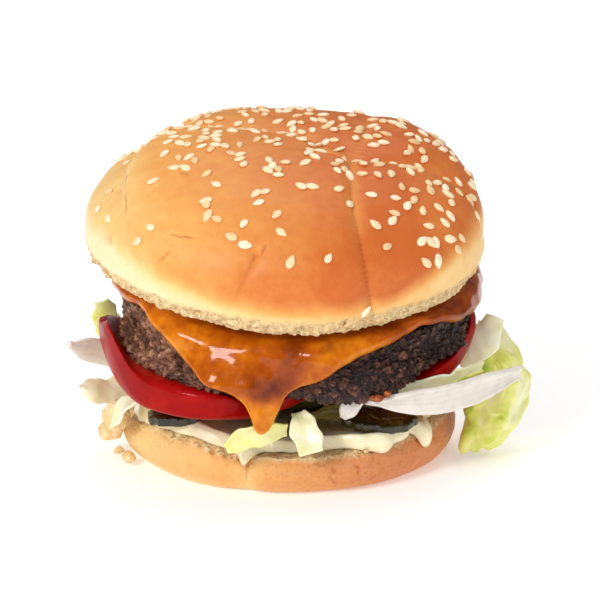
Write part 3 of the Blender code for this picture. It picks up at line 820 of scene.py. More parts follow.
def seed_source():
    """One sesame seed lying flat, its point along +X, in millimetres."""
    long = bpy.context.scene.burger_roll.seed_length / MM
    bpy.ops.object.select_all(action="DESELECT")
    bpy.ops.mesh.primitive_uv_sphere_add(segments=12, ring_count=8, radius=1)
    seed = named("seed")
    at = points_of(seed)
    width = 0.31 * long * (1 - 0.42 * smoothstep(-0.1, 1.0, at[:, 0]))
    shaped = np.column_stack((at[:, 0] * long / 2, at[:, 1] * width, at[:, 2] * 0.52))
    seed.data.vertices.foreach_set("co", shaped.ravel())
    return seed


def seed_places(crown):
    """Seeds in clusters on top, thinning out down the front, and the stray ones."""
    points = points_of(crown) / MM
    faces = [tuple(face.vertices) for face in crown.data.polygons]
    tree = BVHTree.FromPolygons([tuple(point) for point in points], faces)
    chance = np.random.default_rng(11)
    wanted = bpy.context.scene.burger_roll.seed_count
    down = CROWN.to_3x3() @ Vector((0, 0, -1))
    hits = []
    for _ in range(40000):
        if len(hits) >= wanted:
            break
        x, y = chance.uniform(-50, 50), chance.uniform(-46, 50)
        top = smoothstep(-46, -8, y) * smoothstep(-46, -20, x + 0.25 * y)
        clump = noise.noise(Vector((x / 7.5, y / 7.5, 4.0))) + 0.5 * noise.noise(Vector((x / 3, y / 3, 9.0)))
        if chance.uniform() > top * (0.10 + 2.0 * max(0.0, clump + 0.05)):
            continue
        hit = tree.ray_cast(CROWN @ Vector((x, y, 60)), down)
        if hit[0] is None or hit[1].dot(-down) < 0.25:
            continue
        if any((hit[0] - other).length < 2.3 for other, _ in hits):
            continue
        hits.append((hit[0], hit[1]))
    for degrees, height in STRAY_SEEDS:
        way = Vector((math.cos(math.radians(degrees)), math.sin(math.radians(degrees)), 0))
        hit = tree.ray_cast(CROWN @ (way * 90 + Vector((0, 0, height))), CROWN.to_3x3() @ -way)
        if hit[0] is not None:
            hits.append((hit[0], hit[1]))
    matrices = []
    for place, normal in hits:
        level = normal.to_track_quat("Z", "Y").to_matrix().to_4x4()
        spin = Matrix.Rotation(chance.uniform(0, 2 * math.pi), 4, "Z")
        tilt = Matrix.Rotation(math.radians(chance.uniform(-10, 10)), 4, "Y")
        size = Matrix.Scale(chance.uniform(0.86, 1.1), 4)
        matrices.append(Matrix.Translation(place + normal * 0.22) @ level @ spin @ tilt @ size)
    return matrices, chance.uniform(0.1, 0.8, len(matrices))


class BURGER_OT_crown(Operator):
    """Adds the top of the roll with its folds, cracks, crust and cut crumb"""

    bl_idname = "burger.add_crown"
    bl_label = "Add the crown"

    def execute(self, context):
        crown = round_piece("crown", 470, 208, crown_place, 0.42)
        done(crown, crust_finish, "crust", "bun_crown")
        return {"FINISHED"}


class BURGER_OT_seeds(Operator):
    """Adds the sesame seeds on the crown"""

    bl_idname = "burger.add_seeds"
    bl_label = "Add the sesame seeds"

    def execute(self, context):
        matrices, tints = seed_places(bpy.data.objects["crown"])
        seeds = copies_in_one("sesame_seeds", seed_source(), matrices, tints)
        set_points(seeds, points_of(seeds))
        done(seeds, seed_finish, "crust")
        return {"FINISHED"}


# ---------------------------------------------------------------- heel and mayonnaise


def heel_radius(angle):
    seam = 1.3 * towards(angle, HEEL_SEAM, 6)
    return HEEL_RADIUS - seam + wobble(angle, 4.0, 0.9)


def heel_rim(angle):
    raised = 1.6 * towards(angle, -138, 20)
    pressed = 1.5 * towards(angle, -88, 18)
    notch = 1.6 * towards(angle, HEEL_SEAM, 8)
    return HEEL_RIM + raised - pressed - notch + wobble(angle, 9.0, 0.8)


def heel_top(x, y):
    angle = np.arctan2(y, x)
    share = np.minimum(1.0, np.hypot(x, y) / heel_radius(angle))
    return HEEL_MIDDLE + (heel_rim(angle) - HEEL_MIDDLE) * smoothstep(0.35, RIM_SHARE, share)


def heel_place(angles, lifts, piece):
    radius, rim = heel_radius(angles), heel_rim(angles)
    share = lifts / math.pi
    on_top, on_base = share <= HEEL_TOP_SHARE, share >= HEEL_BASE_SHARE
    down = np.clip((share - HEEL_TOP_SHARE) / (HEEL_BASE_SHARE - HEEL_TOP_SHARE), 0, 1)
    inner = mix(RIM_SHARE, BASE_SHARE, down)
    bulge = np.sin(math.pi * np.clip(down, 1e-4, 1 - 1e-4) ** 0.85) ** 0.6
    outward = radius * (inner + (1 - inner) * bulge)
    outward = np.where(on_top, RIM_SHARE * radius * share / HEEL_TOP_SHARE, outward)
    outward = np.where(on_base, BASE_SHARE * radius * (1 - share) / (1 - HEEL_BASE_SHARE), outward)
    x, y = outward * np.cos(angles), outward * np.sin(angles)
    z = np.where(on_top, heel_top(x, y), np.where(on_base, 0, rim * (1 - down)))
    spots = np.column_stack((x, y, z))
    wall = smoothstep(0.0, 0.12, down) * smoothstep(1.0, 0.86, down)
    across = turn_between(angles, math.radians(HEEL_SEAM + 1.5)) * HEEL_RADIUS
    groove = 1.3 * np.exp(-((np.abs(across) / 1.1) ** 1.2)) * smoothstep(1.1, 0.3, down)
    lip = 0.5 * bell(across, -2.6, 1.6)
    crack = np.zeros(len(spots))
    for degrees, low, high in ((-74, 1.5, 9.5), (-66, 3, 9), (-60, 1.5, 5)):
        bend = 1.6 * lumps(spots, 2.2, degrees)
        gap = turn_between(angles, math.radians(degrees)) * HEEL_RADIUS + bend
        ends = smoothstep(low, low + 1.5, z) * smoothstep(high, high - 1.5, z)
        crack = np.maximum(crack, bell(gap, 0, 0.28) * ends)
    flake = smoothstep(2.6, 2.0, np.hypot(turn_between(angles, math.radians(-63.5)) * HEEL_RADIUS, z - 9.4)
                       + 0.6 * lumps(spots, 1.8, 31.0))
    push = 0.55 * lumps(spots, 13, 14.0) + 0.25 * lumps(spots, 4.5, 15.0) + 0.1 * lumps(spots, 1.6, 16.0)
    push = (push - groove + lip - 0.5 * crack + 0.55 * flake) * wall
    torn = bell(down, 0.02, 0.13) * (1 - on_base)
    fraying = 0.5 + 1.1 * between(angles, -132, -106, 12, 6)
    ragged = torn * fraying * (0.9 * lumps(spots, 2.6, 17.0) + 0.6 * lumps(spots, 1.2, 18.0))
    spots = spots + outwards(angles) * (push + 0.6 * ragged)[:, None]
    raised = ragged * 0.9 * smoothstep(0.05, 0.3, 1 - down) * (share > 0.2)
    spots[:, 2] = np.maximum(0.0, spots[:, 2] + raised)
    warmth = 0.70 + 0.0085 * x + 0.1 * towards(angles, -52, 24)
    warmth -= 0.2 * smoothstep(3.5, 0.5, z) * (1 - 0.6 * towards(angles, -90, 30))
    warmth -= 0.22 * bell(across, 0.4, 3.2)
    crumb = np.where(on_top, 1.0, 0.24 + 0.66 * smoothstep(0.16, 0.02, down + 0.07 * lumps(spots, 3, 19.0)))
    set_mask(piece, "browned", np.clip(warmth, 0, 1))
    set_mask(piece, "crumb", np.clip(crumb, 0, 1))
    # The cracks and the seam's groove are darkened with painted shade
    set_mask(piece, "crack", np.clip(0.4 * crack + 0.25 * (groove > 0.8), 0, 1))
    return spots


def sauce_overhang(angle):
    """How far past the cut rim the sauce has run, down the heel's side where it is long."""
    front = -1.2 * between(angle, -98, -70, 5, 8)
    front_right = 3.4 * between(angle, -62, -44, 10, 5) + 1.6 * towards(angle, -56, 6)
    right_drip = 6.6 * towards(angle, -38, 4.0)
    seam_drip = 4.8 * towards(angle, HEEL_SEAM + 1, 3.4)
    left = 3.4 * towards(angle, -148, 22) + 1.6 * towards(angle, -118, 10)
    back = 3.6 * towards(angle, 100, 14) + 2.4 * towards(angle, 40, 9) + 3.0 * towards(angle, 165, 8)
    ragged = wobble(angle * 6, 3.0, 0.9)
    return -1.4 + front + np.maximum(front_right, right_drip) + seam_drip + left + back + ragged


def sauce_place(angles, lifts, piece):
    share = np.sin(lifts)
    outer = lifts <= math.pi / 2
    rim = RIM_SHARE * heel_radius(angles)
    reach = (rim + sauce_overhang(angles)) * share**0.8
    over = np.maximum(0.0, reach - rim)
    inside = np.minimum(reach, rim)
    height = heel_top(inside * np.cos(angles), inside * np.sin(angles)) + 0.25
    wall = heel_radius(angles) - rim + 0.5
    outward = inside + wall * np.minimum(1.0, over / (1.6 * wall)) ** 0.6 * (over > 0)
    height = height - over * smoothstep(0, 1.0, over / (2 * wall))
    spots = np.column_stack((outward * np.cos(angles), outward * np.sin(angles), height))
    thick = bpy.context.scene.burger_filling.sauce_thickness / MM
    bead = 1 + 0.9 * bell(share, 0.95, 0.05) + 0.35 * lumps(spots, 6, 41.0)
    bead = bead + 1.3 * towards(angles, -145, 26) + 0.5 * between(angles, -84, -36, 6, 6)
    edge = np.clip((share - 0.955) / 0.045, 0, 1)
    thick = thick * bead * np.sqrt(np.clip(1 - edge**2, 0, 1)) * outer
    tip = smoothstep(0.2, 1.6, over / wall)
    normal = unit(np.column_stack((np.cos(angles) * tip, np.sin(angles) * tip, 1.05 - tip)))
    return spots + normal * thick[:, None]


class BURGER_OT_heel(Operator):
    """Adds the bottom of the roll with its seam, its torn rim and the mayonnaise on it"""

    bl_idname = "burger.add_heel"
    bl_label = "Add the heel"

    def execute(self, context):
        heel = round_piece("heel", 350, 116, heel_place, 0.3)
        done(heel, crust_finish, "crust", "bun_heel")
        sauce = round_piece("mayonnaise_layer", 290, 96, sauce_place, 0.3)
        done(sauce, mayonnaise_finish, "sauce", "mayonnaise")
        return {"FINISHED"}


# ---------------------------------------------------------------- patty, cheese and tomato


def patty_underside(x):
    return PATTY_BOTTOM + 4.0 * smoothstep(17, 31, x)


def patty_top(angle):
    """Height of its upper edge, which stands higher at the sides, where the crown's rim lies higher."""
    return PATTY_TOP + 2.8 * between(angle, -172, -140, 14, 22) + 1.2 * between(angle, -50, -20, 14, 20)


def patty_surface(angle, lift, clear=0.0):
    """A point of the patty's smooth surface, or one that lies clear of it."""
    outward, upward = superellipse(lift, PATTY_SQUARENESS)
    lower = smoothstep(0.55, -0.2, upward)
    flare = 3.2 * between(angle, -158, -104, 14, 14) + 2.0 * between(angle, -64, -14, 14, 16)
    radius = PATTY_RADIUS - 2.2 * towards(angle, 184, 20) + flare * lower + wobble(angle, 2.0, 1.0) + clear
    held = 45.2 / np.maximum(np.abs(np.cos(angle)), 0.2)  # the tomatoes' upturned ends hold it in
    radius = mix(radius, np.minimum(radius, held), lower)
    x, y = radius * outward * np.cos(angle), radius * outward * np.sin(angle)
    bottom = patty_underside(x) + 1.6 * between(angle, -158, -104, 14, 14) * smoothstep(0.8, 1.0, outward)
    bottom -= 3.2 * between(angle, -78, -54, 10, 12)
    below = -(bottom - clear) * upward
    height = np.where(upward > 0, (patty_top(angle) + clear) * upward, below)
    return np.column_stack((x, y, height)), outward


def patty_place(angles, lifts, piece):
    spots, outward = patty_surface(angles, lifts, -0.5)
    furrow, tint = cells(spots, 2.5, 5.0)
    small, _ = cells(spots, 1.25, 8.0)
    grains = smoothstep(0.0, 0.5, furrow)
    rough = 1.1 * (grains - 0.6) + 0.5 * (smoothstep(0.0, 0.5, small) - 0.6) + 0.9 * lumps(spots, 8, 5.0)
    side = smoothstep(0.75, 0.95, outward)
    way = unit(np.column_stack((spots[:, 0] / 48**2, spots[:, 1] / 48**2, spots[:, 2] / 14**2)))
    spots = spots + way * (rough * (0.35 + 0.65 * side))[:, None]
    # Tone: darker in the furrows between grains as painted shade, and lighter towards the front left as
    # painted light
    tone = 0.15 + 0.46 * grains * tint + 0.22 * smoothstep(0.1, 0.6, small)
    tone += 0.40 * towards(angles, -146, 32)
    # The sear is kept off the front left so that the right stays darker: painted shade on top of real sear
    seared = smoothstep(0.0, 0.5, lumps(spots, 11, 33.0) + 0.14 - 0.50 * towards(angles, -148, 36))
    seared = np.maximum(seared, smoothstep(0.02, 0.4, lumps(spots, 4.5, 35.0)))
    set_mask(piece, "grain", np.clip(tone, 0, 1))
    set_mask(piece, "seared", seared * 0.8)
    return placed(STACK, spots)


def cheese_hem(angle):
    """Height of the cheese's lower edge in the stack, by direction."""
    line = smooth_line(CHEESE_HEM, 2)
    return np.interp(np.degrees(turn_between(angle, 0)), line[:, 0], line[:, 1]) + wobble(angle * 5, 6.0, 0.6)


def cheese_place(angles, lifts, piece):
    outer = lifts <= math.pi / 2
    share = np.sin(lifts)
    top = patty_top(angles) + 0.6
    hem = np.clip(cheese_hem(angles), -30, top - 1.4)
    end = np.clip(hem / top, 0, 1)  # where it stops, as a share of the height
    hang = np.maximum(0.0, -hem)
    wrapped = PATTY_RADIUS + top * (1 - end)
    way = share**0.85 * (wrapped + hang)
    held = np.minimum(way, wrapped)
    lift = np.arctan2(np.minimum(held / PATTY_RADIUS, 1), 1 - np.maximum(0, held - PATTY_RADIUS) / top)
    furthest = np.arctan2((1 - end**PATTY_SQUARENESS) ** (1 / PATTY_SQUARENESS), end)
    lift = lift * furthest / np.arctan2(1, end)
    inner, outward = patty_surface(angles, lift, 0.6)
    further, _ = patty_surface(angles, lift, 1.6)
    out = unit(further - inner)
    below = np.maximum(0.0, way - wrapped)
    inner[:, 2] -= below
    thick = bpy.context.scene.burger_filling.cheese_thickness / MM
    height = inner[:, 2]
    side = smoothstep(0.8, 1.0, outward)
    lobes = 1.5 * towards(angles, -98.5, 3.4) * smoothstep(-3, -8, height)
    for swell, direction, breadth, middle, tall in CHEESE_LOBES:
        lobes += swell * towards(angles, direction, breadth) * bell(height, middle, tall)
    valley, _, _ = off_line(inner, smooth_line(CHEESE_VALLEY))
    waves = 0.8 * lumps(inner, 10, 51.0) + 0.3 * lumps(inner, 4.5, 52.0)
    bead = 0.35 * bell(share, 0.975, 0.02)
    relief = side * (lobes - 1.5 * np.exp(-((valley / 1.5) ** 1.3)) + waves) + bead
    edge = np.clip((share - 0.95) / 0.05, 0, 1)
    thick = (np.maximum(0.7, thick - 0.4 + relief)) * np.sqrt(np.clip(1 - edge**2, 0, 1)) * outer
    spots = inner + out * thick[:, None]
    # Tone: amber where the lobes swell, paler at the thin hem and on the drip, lighter high on the right-hand
    # lobe; painted light towards the front left, painted shade in the valley and towards the front right
    bright = 0.50 + 0.22 * towards(angles, -130, 16) - 0.06 * lobes + 0.12 * bell(share, 0.985, 0.02)
    bright += 0.42 * towards(angles, -98.5, 6) * smoothstep(-2, -6, height)
    bright -= 0.26 * bell(valley, 0, 3.0) + 0.26 * towards(angles, -34, 26)
    bright += 0.20 * towards(angles, -75, 12) * bell(height, 6, 4)
    brown, _, _ = off_line(inner, smooth_line(((9.5, -46, 9.8), (7.6, -47.5, 9.2), (6.0, -49, 7.6))))
    scorched = 0.85 * bell(brown, 0, 1.6) * (0.6 + lumps(inner, 1.6, 54.0))
    set_mask(piece, "bright", np.clip(bright, 0, 1))
    set_mask(piece, "browned", np.clip(scorched, 0, 1))
    return placed(STACK, spots)


def tomato_slice(name, centre, radii, curl_side, curl_from, steepest, thickness, snug, node):
    """A slice that lies under the patty and bends up round it past a line, to the left (-1) or right (1).

    Its rim is pressed against the patty, so that it reaches no further out than snug.
    """

    def place(angles, lifts, piece):
        outward, upward = superellipse(lifts, 5.5)
        lobed = 1 + 0.012 * np.cos(5 * angles + centre[0])
        x = centre[0] + radii[0] * lobed * outward * np.cos(angles)
        y = centre[1] + radii[1] * lobed * outward * np.sin(angles)
        rise = thickness * upward / 2
        level = patty_underside(x) - 0.7 - thickness / 2
        past = np.maximum(0.0, curl_side * x - curl_from)
        turn = np.minimum(past / TOMATO_CURL, steepest)
        straight = past - turn * TOMATO_CURL
        inward = TOMATO_CURL - rise
        across = curl_side * (curl_from + inward * np.sin(turn) + straight * np.cos(turn))
        height = level + TOMATO_CURL - inward * np.cos(turn) + straight * np.sin(turn)
        bent = past > 0
        spots = np.column_stack((np.where(bent, across, x), y, np.where(bent, height, level + rise)))
        cut = smoothstep(0.90, 0.97, np.abs(upward) + 0.02 * lumps(spots, 3, 61.0))
        spots = spots + 0.25 * lumps(spots, 9, 62.0)[:, None] * outwards(angles)
        far, way = np.hypot(spots[:, 0], spots[:, 1]), np.arctan2(spots[:, 1], spots[:, 0])
        hugged = np.where(far > 45.5, 45.5 + (snug - 45.5) * np.tanh((far - 45.5) / (snug - 45.5)), far)
        spots[:, :2] *= (hugged / np.maximum(far, 1e-6))[:, None]
        droops = between(way, -156, -96, 12, 10) + 0.2 * between(way, -60, -20, 8, 12)
        spots[:, 2] += smoothstep(43, 49, hugged) * droops * (2.7 + 2.2 * upward)
        spots[:, 2] -= 1.7 * (curl_side > 0) * between(way, -90, -52, 10, 16)
        set_mask(piece, "cut", cut)
        return placed(STACK, spots)

    return done(round_piece(name, 200, 64, place), tomato_finish, "tomato", node)


class BURGER_OT_patty(Operator):
    """Adds the beef patty with its coarse grain"""

    bl_idname = "burger.add_patty"
    bl_label = "Add the patty"

    def execute(self, context):
        patty = round_piece("patty", 400, 120, patty_place, 0.3)
        done(patty, meat_finish, "patty", "beef_patty")
        return {"FINISHED"}


class BURGER_OT_cheese(Operator):
    """Adds the melted cheese with its lobes and its drip"""

    bl_idname = "burger.add_cheese"
    bl_label = "Add the cheese"

    def execute(self, context):
        cheese = round_piece("melted_cheese", 390, 184, cheese_place, 0.45)
        done(cheese, cheese_finish, "cheese", "cheese")
        return {"FINISHED"}


class BURGER_OT_tomatoes(Operator):
    """Adds the two tomato slices"""

    bl_idname = "burger.add_tomatoes"
    bl_label = "Add the tomato slices"

    def execute(self, context):
        for name, centre, radii, side, curl_from, steepest, share, snug in (
            ("left", (-24.4, -15.5), (33.2, 31.0), -1, 39.2, 112, 1.0, 54.5),
            ("right", (29.4, -8.0), (20.0, 26.5), 1, 37.2, 90, 0.8, 49.6),
        ):
            tomato_slice("tomato_slice_" + name, centre, radii, side, curl_from, math.radians(steepest),
                         share * TOMATO_THICK, snug, "tomato_" + name)
        return {"FINISHED"}


# ---------------------------------------------------------------- lettuce


def bed_limits(x, y):
    """(floor, ceiling) of the room for lettuce between the mayonnaise and what lies on it."""
    floor = heel_top(x, y) + 2.7
    lowest = patty_underside(x - STACK_RIGHT) - TOMATO_THICK - 1.1
    behind = smoothstep(22, 27, y)
    raised = lowest + (TOMATO_THICK - 2) * behind
    return floor, STACK_LEVEL + math.sin(STACK_LEAN) * y + math.cos(STACK_LEAN) * raised


def bed_core_place(angles, lifts, piece):
    outward, upward = superellipse(lifts, 3.6)
    x = -1.5 + 33 * outward * np.cos(angles)
    y = 8.5 + 22 * outward * np.sin(angles)
    floor, ceiling = bed_limits(x, y)
    spots = np.column_stack((x, y, (floor + ceiling) / 2 + (ceiling - floor) / 2 * upward))
    spots = spots + unit(spots - np.array((-1.5, 8.5, 20))) * (1.2 * lumps(spots, 4, 71.0))[:, None]
    set_mask(piece, "green", 0.5 + 0.8 * lumps(spots, 5, 72.0))
    # Painted shade on the core's front, where the heap lies in shadow
    set_mask(piece, "deep", 0.85 * towards(angles, -90, 60))
    return spots


def ribbon(name, path, side, width, seed, columns=28, rows=6, ruffle=0.6, ends=(0.5, 0.5), cup=0.0,
           thick=0.7, levels=0, green=(0.5, 0.2), frayed=0.12):
    """A thin strip along a smooth line. Side is the way its width spans, green its tone and how that varies.

    Frayed is how unevenly wide it is.
    """
    line = smooth_line(path, 3)
    steps = np.concatenate(([0], np.cumsum(np.linalg.norm(np.diff(line, axis=0), axis=1))))

    def on_line(at):
        return np.column_stack([np.interp(at, steps, line[:, axis]) for axis in range(3)])

    def place(along, over, piece):
        at = along * steps[-1]
        centre = on_line(at)
        run = unit(on_line(np.minimum(at + 0.5, steps[-1])) - on_line(np.maximum(at - 0.5, 0)))
        across = unit(np.array(side, float) - (run @ np.array(side, float))[:, None] * run)
        face = np.cross(run, across)
        taper = 1 - (1 - ends[0]) * bell(along, 0, 0.2) - (1 - ends[1]) * bell(along, 1, 0.2)
        reach = (over - 0.5) * width * taper
        reach = reach + frayed * width * lumps(centre + over[:, None] * 2, 3.0, seed)
        wave = ruffle * lumps(centre + across * reach[:, None], 3.2, seed + 3)
        wave = wave * (0.4 + 1.6 * np.abs(over - 0.5))
        wave = wave + ruffle * 0.7 * lumps(centre, 6.0, seed + 5) + cup * (over - 0.5) ** 2 * width
        spots = centre + across * reach[:, None] + face * wave[:, None]
        set_mask(piece, "green", np.clip(green[0] + green[1] * 2 * lumps(spots, 6, seed + 7), 0, 1))
        set_mask(piece, "across", over)
        return spots

    piece = sheet_piece(name, columns, rows, place)
    return thicken(piece, thick, levels)


def make_shreds():
    """Curled shreds packed round the core, thick at the sides and back and few in front."""
    chance = np.random.default_rng(23)
    shreds = []
    count = bpy.context.scene.burger_filling.shred_count
    while len(shreds) < count:
        angle = chance.uniform(-math.pi, math.pi)
        front = float(towards(np.array([angle]), -90, 52)[0])
        if chance.uniform() < 1.15 * front:
            continue
        reach = chance.uniform(0.80, 1.0)
        span = chance.uniform(0.18, 0.42)
        share = chance.uniform(0.04, 0.96)
        droop = chance.uniform(-0.25, 0.25)
        path = []
        for step in np.linspace(-1, 1, 6):
            turn = angle + step * span
            out = reach + 0.06 * math.sin(3 * step + angle * 5) + 0.05 * step * droop
            x, y = -1.5 + 39.5 * out * math.cos(turn), 6.0 + 30.5 * out * math.sin(turn)
            floor, ceiling = bed_limits(np.array([x]), np.array([y]))
            level = min(0.97, max(0.03, share + droop * step + 0.08 * math.sin(4 * step + 9 * angle)))
            path.append((x, y, float(floor[0] + (ceiling[0] - floor[0]) * level)))
        side = (math.cos(angle) * chance.uniform(-0.6, 1), math.sin(angle) * chance.uniform(-0.6, 1),
                chance.uniform(0.3, 1))
        shreds.append(ribbon("shred", path, side, chance.uniform(2.6, 5.0), len(shreds), 14, 3,
                             0.9, (0.4, 0.4), 0.5, 0.5, 0, (chance.uniform(0.15, 0.75), 0.15)))
    return join("lettuce_shreds", shreds)


def leaf_place(across, along, piece):
    """A cupped leaf that bulges to the front and right, open towards the sandwich, with ruffled folds."""
    angle = np.radians(-142 + 205 * across)
    lift = np.radians(14 + 150 * along)
    ruffle = 1 + 0.05 * np.sin(3 * angle + 9 * along) + 0.03 * np.sin(16 * along - 2 * angle)
    x = 9.6 * np.sin(lift) ** 0.8 * np.cos(angle) * ruffle
    y = 12.0 * np.sin(lift) ** 0.8 * np.sin(angle) * ruffle
    z = 14.8 * np.cos(lift) * ruffle
    spots = np.column_stack((x, y, z))
    out = unit(spots / np.array((9.6, 12.0, 14.8)) ** 2)
    folds = 0.9 * np.sin(7 * angle + 6 * along + 2.0 * lumps(spots, 9, 81.0))
    folds = folds + 1.1 * lumps(spots, 4.5, 82.0) + 0.5 * lumps(spots, 2.2, 83.0)
    crease, _, _ = off_line(spots, smooth_line(((-2, -11, 9), (5, -9, 7), (9.4, -2, 5), (8, 6, 3))))
    lower, _, _ = off_line(spots, smooth_line(((-6, -8, -6), (0, -10, -9), (6, -6, -10))))
    folds = folds - 1.6 * bell(crease, 0, 1.3) - 1.3 * bell(lower, 0, 1.1)
    spots = spots + out * (0.85 * folds)[:, None]
    swing = np.column_stack((-5.0 * np.cos(lift) ** 2, 6.5 * np.cos(lift), np.zeros(len(lift))))
    rim = smoothstep(0.80, 1.0, across) + smoothstep(0.25, 0.0, along) * 0.9
    green = 0.62 - 0.55 * np.clip(rim, 0, 1) + 0.3 * bell(crease, 0, 2.4) + 0.3 * bell(lower, 0, 1.6)
    green = green + 0.16 * folds - 0.22 * smoothstep(2, 9, spots[:, 0])
    set_mask(piece, "green", np.clip(green, 0, 1))
    return spots + swing + np.array((53.6, -3.0, 17.4))


class BURGER_OT_lettuce(Operator):
    """Adds the lettuce: the heap of shreds, the cupped leaf and the pieces that stick out"""

    bl_idname = "burger.add_lettuce"
    bl_label = "Add the lettuce"

    def execute(self, context):
        core = round_piece("lettuce_core", 96, 28, bed_core_place)
        done(core, lettuce_finish, "lettuce", "lettuce_bed")
        done(make_shreds(), lettuce_finish, "lettuce")
        leaf = sheet_piece("lettuce_leaf", 98, 76, leaf_place)
        done(thicken(leaf, 0.8), lettuce_finish, "lettuce", "lettuce_leaf_right")
        for name, path, side, width, ends, green, node in (
            ("lettuce_shred_yellow",
             ((-15.6, -46.2, 14.6), (-10.6, -46.8, 17.4), (-6, -45.8, 18.2), (0, -43.8, 18.4)),
             (0, -0.3, 1), 6.4, (0.45, 0.6), (0.55, 0.12), "lettuce_shred_front"),
            ("lettuce_piece_light", ((2.6, -41.6, 22.4), (4.6, -45.2, 18.4), (6.2, -47.9, 13.4)),
             (1, 0, 0), 7.4, (0.5, 0.9), (0.22, 0.12), "lettuce_piece_front"),
            ("lettuce_tip_upper", ((-43.5, 12, 25), (-48.5, 11, 30), (-49.3, 9, 37)),
             (1, 0.3, 0.2), 7.5, (0.8, 0.5), (0.5, 0.2), "lettuce_left_upper"),
            ("lettuce_tip_lower", ((-42.5, -7, 18.2), (-48, -11, 18.4), (-54.4, -14.5, 20.6)),
             (0.2, 0.8, 0.6), 7.0, (1.0, 0.08), (0.08, 0.1), "lettuce_left_lower"),
            ("lettuce_drape_left", ((-35, -25, 20.5), (-41.4, -23.4, 18.8), (-45.4, -20.6, 12.2)),
             (0.5, -0.8, 0.2), 7.2, (1.0, 0.3), (0.1, 0.1), None),
            ("lettuce_strip_right", ((28, -36, 26.5), (41, -31.6, 26.4), (50, -21, 28)),
             (0, -0.3, 1), 6.5, (0.6, 0.7), (0.12, 0.1), None),
            ("lettuce_frill_right", ((33, -37, 22.2), (42, -33, 25.4), (50, -27, 28.5)),
             (0, -0.5, 1), 5.0, (0.4, 0.5), (0.75, 0.3), None),
            ("lettuce_rib_right", ((44, -12, 27), (51, -11, 32), (54, -8, 38)),
             (0.4, -0.5, -0.6), 9.0, (1.0, 0.5), (0.1, 0.1), None),
        ):
            piece = ribbon(name, path, side, width, width, 36, 12, 0.8, ends, 0.4, 0.8, 1, green)
            done(piece, lettuce_finish, "lettuce", *([node] if node else []))
        return {"FINISHED"}


# ---------------------------------------------------------------- onion, pickles and loose bits


class BURGER_OT_onions(Operator):
    """Adds the strips of onion"""

    bl_idname = "burger.add_onions"
    bl_label = "Add the onion"

    def execute(self, context):
        for name, path, side, width, ends, node in (
            ("onion_strip_long",
             ((19.5, -41.2, 25.4), (30, -40.6, 24.6), (41.5, -37.5, 25), (51, -29, 25.6), (60, -20, 26.4)),
             (0, -0.35, 1), 8.6, (0.15, 0.45), "onion_front_right"),
            ("onion_strip_front", ((17.6, -40.2, 26.0), (15.9, -40.6, 23.6), (14.0, -41.0, 20.6)),
             (1, 0, 0.35), 4.8, (1.0, 0.05), "onion_front"),
            ("onion_strip_left", ((-41.5, 4, 22), (-49.5, -1, 25.8), (-57.5, -7.4, 30.0)), (0, -0.5, 1), 7.5,
             (1.0, 0.1), "onion_left"),
            ("onion_strip_right", ((37, -20.5, 20.8), (41.2, -15, 21.8), (42.4, -6, 22.8)), (0, -0.2, 1), 3.6,
             (0.6, 0.6), "onion_right"),
        ):
            piece = ribbon(name, path, side, width, width * 3, 48, 12, 0.12, ends, 0.35, 1.5, 1, frayed=0.03)
            done(piece, onion_finish, "onion", node)
        return {"FINISHED"}


def pickle_slice(name, centre, radii, tilt, node):
    """A round slice with a scalloped skin, laid on the mayonnaise."""
    lie = Matrix.Translation(centre) @ Matrix.Rotation(math.radians(tilt[0]), 4, "X")
    lie = lie @ Matrix.Rotation(math.radians(tilt[1]), 4, "Y")

    def place(angles, lifts, piece):
        outward, upward = superellipse(lifts, 5.0)
        scallop = 1 + 0.035 * np.cos(9 * angles) + 0.02 * np.cos(17 * angles + 1)
        x = radii[0] * scallop * outward * np.cos(angles)
        y = radii[1] * scallop * outward * np.sin(angles)
        spots = np.column_stack((x, y, 1.5 * upward))
        spots[:, 2] += 0.5 * lumps(spots, 6, 91.0) + 0.2 * lumps(spots, 2, 92.0)
        set_mask(piece, "cut", smoothstep(0.9, 0.8, outward))
        return placed(lie, spots)

    return done(round_piece(name, 120, 40, place), pickle_finish, "pickle", node)


class BURGER_OT_pickles(Operator):
    """Adds the two slices of pickled cucumber"""

    bl_idname = "burger.add_pickles"
    bl_label = "Add the pickles"

    def execute(self, context):
        pickle_slice("pickle_slice_left", (-28.5, -29.0, 17.7), (7.4, 5.6), (6, -4), "pickle_left")
        pickle_slice("pickle_slice_right", (23.5, -30.0, 16.9), (9.6, 6.2), (12, 3), "pickle_right")
        return {"FINISHED"}


def torn_bit(name, centre, radii, seed, segments=64, rings=32):
    """A knobbly bit torn from something, rough all over."""

    def place(angles, lifts, piece):
        flank = np.sin(lifts)[:, None] * outwards(angles)
        flank[:, 2] = np.cos(lifts)
        knobbly = 1 + 0.30 * lumps(flank, 1.0, seed) + 0.07 * lumps(flank, 0.3, seed + 4)
        spots = flank * knobbly[:, None] * np.array(radii)
        crumb = np.clip(0.3 + 0.6 * lumps(flank, 0.6, seed + 9), 0, 1)
        set_mask(piece, "crumb", crumb)
        set_mask(piece, "browned", 0.1 + 0.5 * lumps(flank, 0.8, seed + 6))
        set_mask(piece, "crack", 0 * crumb)
        set_mask(piece, "tint", 0.6 + 0.6 * lumps(flank, 0.7, seed + 2))
        return spots + np.array(centre)

    return round_piece(name, segments, rings, place)


